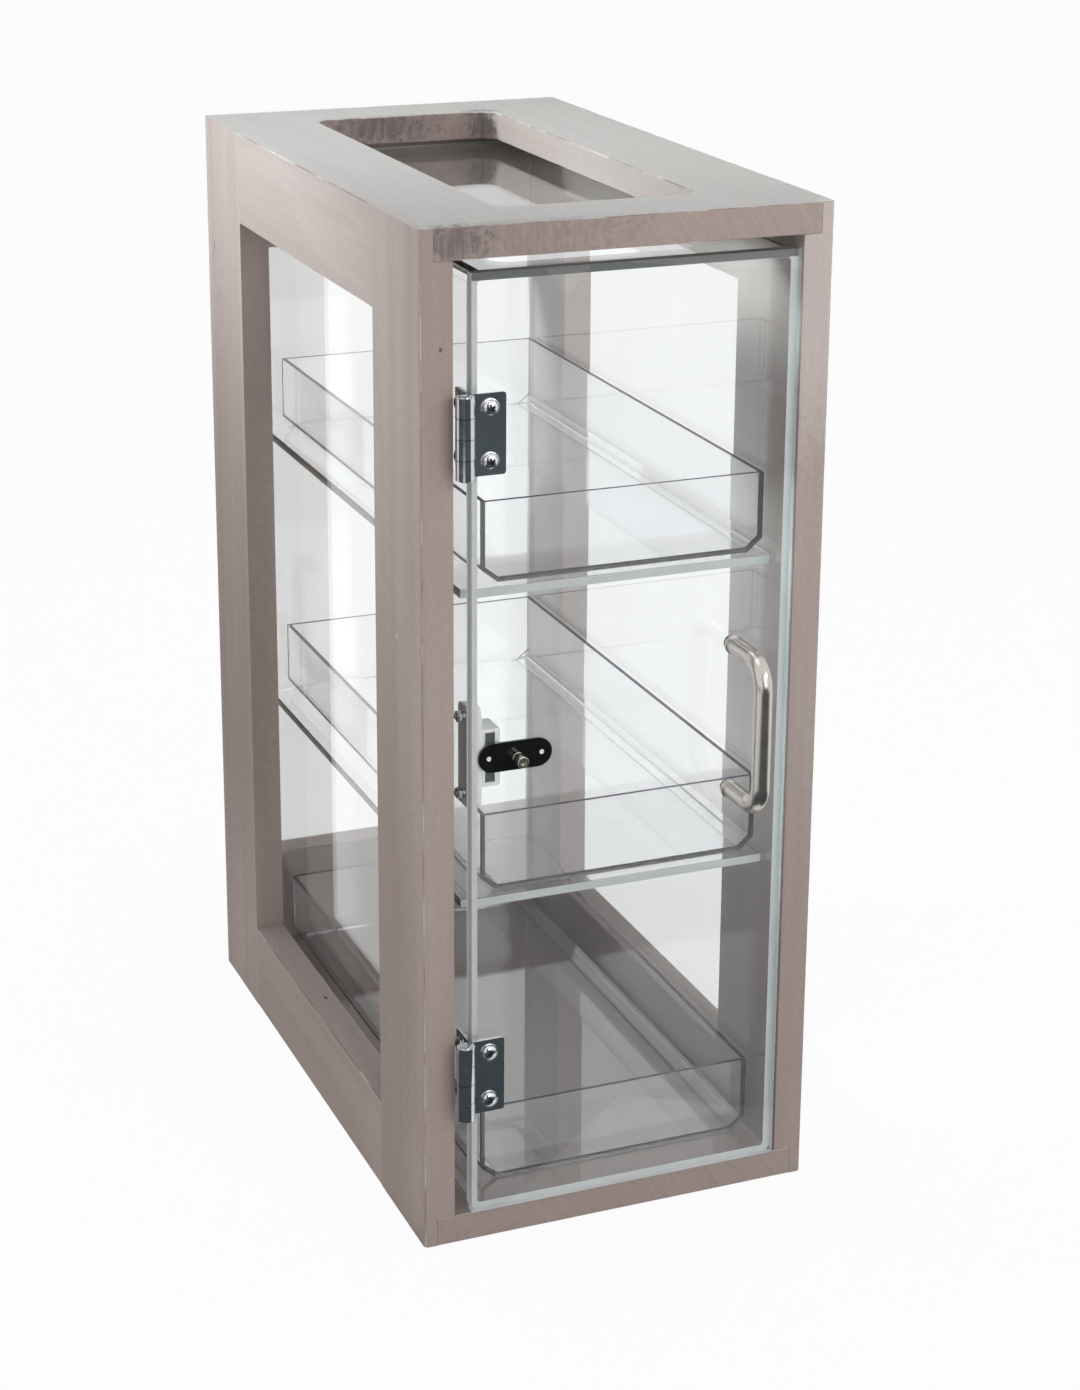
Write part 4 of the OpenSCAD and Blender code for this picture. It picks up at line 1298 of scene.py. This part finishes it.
class BIN_OT_strike(bpy.types.Operator):
    """Build the strike plate on the door's back, its screw and the round post in front"""

    bl_idname = "bread_bin.strike"
    bl_label = "Strike plate"

    def execute(self, context):
        low, high = BOX["strike_plate"]
        x, z = middle("strike_plate", 0), middle("strike_plate", 2)
        half = (high.z - low.z) / 2
        piece = block("strike_plate_metal", low, high)
        dress(piece, FINISHES["black"], FINISHES["screw_chrome"])
        round_edges(piece, half - 0.02 * MM, 12, along(1))
        dimple_shift, dimple_r, dimple_h = 14.4 * MM, 1.3 * MM, 0.5 * MM
        for side in (-1, 1):
            start = (x + side * dimple_shift, low.y - MM, z)
            dimple = rod("dimple", start, Y, dimple_r, MM + dimple_h, 20)
            dress_cutter(dimple, "black", "screw_chrome")
            carve(piece, dimple)
        carve(piece, through((x, low.y, z), Y, high.y - low.y))
        sink = turned("sink", 3.5 * MM, [(1.35 * MM, 2.1 * MM)])
        sink.rotation_euler, sink.location = FRONTWARD, (x, high.y + 0.01 * MM, z)
        settle(sink)
        carve(piece, sink)
        ease(piece, 0.2 * MM, 2, 50)
        fit(piece, "door", "black_metal", "strike_plate")
        low, high = BOX["strike_screw"]
        tall = high.y - low.y
        piece = turned("strike_screw_metal", 1.4 * MM, [
            (0.5 * MM, 2 * MM), (tall - 1.8 * MM, 2 * MM), (1.2 * MM, 3.35 * MM), (0.1 * MM, 3.3 * MM)])
        dress(piece, FINISHES["screw_chrome"])
        for angle in (10, 100):
            slot = block("slot", (-1.9 * MM, -0.45 * MM, tall - 0.9 * MM), (1.9 * MM, 0.45 * MM, tall + MM))
            slot.rotation_euler = (0, 0, math.radians(angle))
            settle(slot)
            carve(piece, slot)
        piece.rotation_euler, piece.location = BACKWARD, (x, low.y, z)
        settle(piece)
        fit(piece, "door", "bright_steel", "strike_screw")
        low, high = BOX["strike_post"]
        r, tall = (high.x - low.x) / 2, high.y - low.y
        piece = turned("strike_post_metal", r, [
            (0.4 * MM, r), (0, r * 0.93), (0.5 * MM, r * 0.93), (0, r), (tall - 1.3 * MM, r),
            (0.25 * MM, r * 0.95), (0.15 * MM, r * 0.86)], 40)
        dress(piece, FINISHES["post"])
        carve(piece, rod("socket", (0, 0, tall - 1.4 * MM), Z, 1.75 * MM, 3 * MM, 6),
              rod("bore", (0, 0, -MM), Z, 2.05 * MM, 6.6 * MM, 24))
        piece.rotation_euler, piece.location = FRONTWARD, (x, high.y, z)
        settle(piece)
        ease(piece, 0.08 * MM, 1, 50)
        fit(piece, "door", "bright_steel", "strike_post")
        return {"FINISHED"}


# ---------- stage ----------


def lamp(name, place, aim, size, watts, spread=180, tint=(1, 1, 1)):
    """A square soft lamp that faces a point, with its beam's spread in degrees."""
    pick()
    place, aim = Vector(place), Vector(aim)
    turn = (place - aim).to_track_quat("Z", "Y").to_euler()
    bpy.ops.object.light_add(type="AREA", location=place, rotation=turn)
    made = bpy.context.object
    made.name = name
    made.data.shape = "SQUARE"
    made.data.size = size
    made.data.energy = watts
    made.data.spread = math.radians(spread)
    made.data.color = tint
    return made


def card(name, place, size, turn, tint):
    """A dark card that only mirrors see, as a studio uses to darken them."""
    pick()
    bpy.ops.mesh.primitive_plane_add(size=1, location=place, rotation=turn)
    made = bpy.context.object
    made.name = name
    made.scale = (*size, 1)
    settle(made)
    f = Finish(name)
    f.set(Base_Color=tint, Roughness=0.9)
    made.data.materials.append(f.material)
    for kind in ("camera", "diffuse", "transmission", "volume_scatter", "shadow"):
        setattr(made, "visible_" + kind, False)
    return made


FRONT_CARD_TINT = (0.012, 0.012, 0.013)
FLOOR_CARD_TINT = (0.045, 0.062, 0.070)
DOOR_Y = -0.2

# Dark cards on the floor in front of the door: turn in degrees, where each starts and ends, and its width
FLOOR_CARDS = (
    (-8, 0.12, 2.5, 0.8),
    (12, 0.12, 2.5, 0.8),
    (32, 0.12, 2.5, 0.8),
    (-35, 1.55, 2.6, 1.3),
    (-40, 0.05, 0.45, 0.6),
    (-75, 1.3, 2.6, 1.5),
)


def white_background(tree, level):
    """Strength for a white background: 1 until a surface scatters the light, and a lower level after that."""
    path = tree.nodes.new("ShaderNodeLightPath")
    strength = tree.nodes.new("ShaderNodeMapRange")
    strength.inputs["To Min"].default_value = 1.0
    strength.inputs["To Max"].default_value = level
    tree.links.new(path.outputs["Diffuse Depth"], strength.inputs["Value"])
    return strength.outputs[0]


def floor_finish():
    """A white floor that glows, so that only a soft shadow stays on it."""
    f = Finish("stage_floor")
    grain = f.noise(f.place(), 30, 2)
    f.set(Base_Color=f.blend(f.ramp(grain, 0.3, 0.7), (0.92, 0.92, 0.92), (0.94, 0.94, 0.94)), Roughness=0.8,
          Specular_IOR_Level=0.2)
    glow = f.node("ShaderNodeEmission", Color=(1, 1, 1), Strength=1.0)
    glow_share = f.math("MULTIPLY", white_background(f.tree, 0.0), 0.945)
    mix = f.node("ShaderNodeMixShader", _0=glow_share, _1=f.shader.outputs[0], _2=glow.outputs[0])
    f.tree.links.new(mix.outputs[0], f.output.inputs["Surface"])
    return f.material


class BIN_OT_stage(bpy.types.Operator):
    """Set up the floor, the lamps, the room and the camera"""

    bl_idname = "bread_bin.stage"
    bl_label = "Stage"

    def execute(self, context):
        stage = context.scene.bin_stage
        scene = context.scene
        pick()
        bpy.ops.mesh.primitive_plane_add(size=12, location=(0, 0, -0.2 * MM))
        floor = context.object
        floor.name = "floor"
        floor.data.materials.append(floor_finish())
        world = bpy.data.worlds.new("room")
        scene.world = world
        world.use_nodes = True
        back = world.node_tree.nodes["Background"]
        back.inputs["Color"].default_value = (1, 1, 1, 1)
        world.node_tree.links.new(white_background(world.node_tree, stage.world), back.inputs["Strength"])
        lamp("top_lamp", (-0.35, 0.25, 1.75), (0, 0, 0.4), 1.4, stage.top_watts)
        lamp("left_lamp", (-1.25, 0.55, 1.15), (-0.11, 0.1, 0.62), 0.3, stage.left_watts, 26,
             (0.82, 0.97, 1.0))
        lamp("right_lamp", (0.9, -0.9, 1.0), (0.14, -0.19, 0.53), 0.25, stage.right_watts, 22)
        lamp("front_lamp", (0.4, -1.9, 0.95), (0, 0, 0.27), 1.2, stage.front_watts)
        card("front_card", (0.3, -2.6, 1.2), (2.6, 2.4), FRONTWARD, FRONT_CARD_TINT)
        for number, (degrees, start, end, width) in enumerate(FLOOR_CARDS):
            turn, reach = math.radians(degrees), (start + end) / 2
            x, y = reach * math.sin(turn), DOOR_Y - reach * math.cos(turn)
            place = (x, y, (3 + number) * 0.1 * MM)
            size = (width, end - start)
            card(f"floor_card_{number + 1}", place, size, (0, 0, turn), FLOOR_CARD_TINT)
        pick()
        tilt = Matrix.Rotation(math.pi / 2 - stage.elevation, 4, "X")
        turn = Matrix.Rotation(stage.azimuth, 4, "Z") @ tilt @ Matrix.Rotation(stage.roll, 4, "Z")
        bpy.ops.object.camera_add(location=stage.place, rotation=turn.to_euler())
        camera = context.object
        camera.name = "camera"
        camera.data.lens = stage.lens
        camera.data.sensor_width = 36
        camera.data.shift_y = stage.shift
        camera.data.clip_start = 0.01
        scene.camera = camera
        scene.view_settings.view_transform = "Standard"
        scene.cycles.max_bounces = 24
        scene.cycles.transmission_bounces = 24
        scene.cycles.transparent_max_bounces = 24
        return {"FINISHED"}


# ---------- panel and registering ----------

OPERATORS = (
    BIN_OT_stage,
    BIN_OT_side_frames,
    BIN_OT_boards,
    BIN_OT_back_rails,
    BIN_OT_case,
    BIN_OT_shelves,
    BIN_OT_trays,
    BIN_OT_door,
    BIN_OT_handle,
    BIN_OT_hinges,
    BIN_OT_screws,
    BIN_OT_catch,
    BIN_OT_strike,
)


class BIN_PT_build(bpy.types.Panel):
    """Lists the steps that build the bread bin"""

    bl_label = "Bread Bin"
    bl_idname = "BIN_PT_build"
    bl_space_type = "VIEW_3D"
    bl_region_type = "UI"
    bl_category = "Bread Bin"

    def draw(self, context):
        for settings in SETTINGS:
            box = self.layout.box()
            group = getattr(context.scene, settings)
            for key in group.bl_rna.properties.keys():
                if key not in ("rna_type", "name"):
                    box.prop(group, key)
        for operator in OPERATORS:
            self.layout.operator(operator.bl_idname)


def register():
    """Registers the settings, the operators and the panel."""
    for name, group in SETTINGS.items():
        bpy.utils.register_class(group)
        setattr(bpy.types.Scene, name, PointerProperty(type=group))
    for cls in (*OPERATORS, BIN_PT_build):
        bpy.utils.register_class(cls)


def unregister():
    """Takes them out again."""
    for cls in (BIN_PT_build, *reversed(OPERATORS)):
        bpy.utils.unregister_class(cls)
    for name, group in SETTINGS.items():
        delattr(bpy.types.Scene, name)
        bpy.utils.unregister_class(group)


def main():
    """Builds everything in order."""
    register()
    make_finishes(bpy.context.scene)
    for operator in OPERATORS:
        group, name = operator.bl_idname.split(".")
        getattr(getattr(bpy.ops, group), name)()
    pick()


if __name__ == "__main__":
    main()
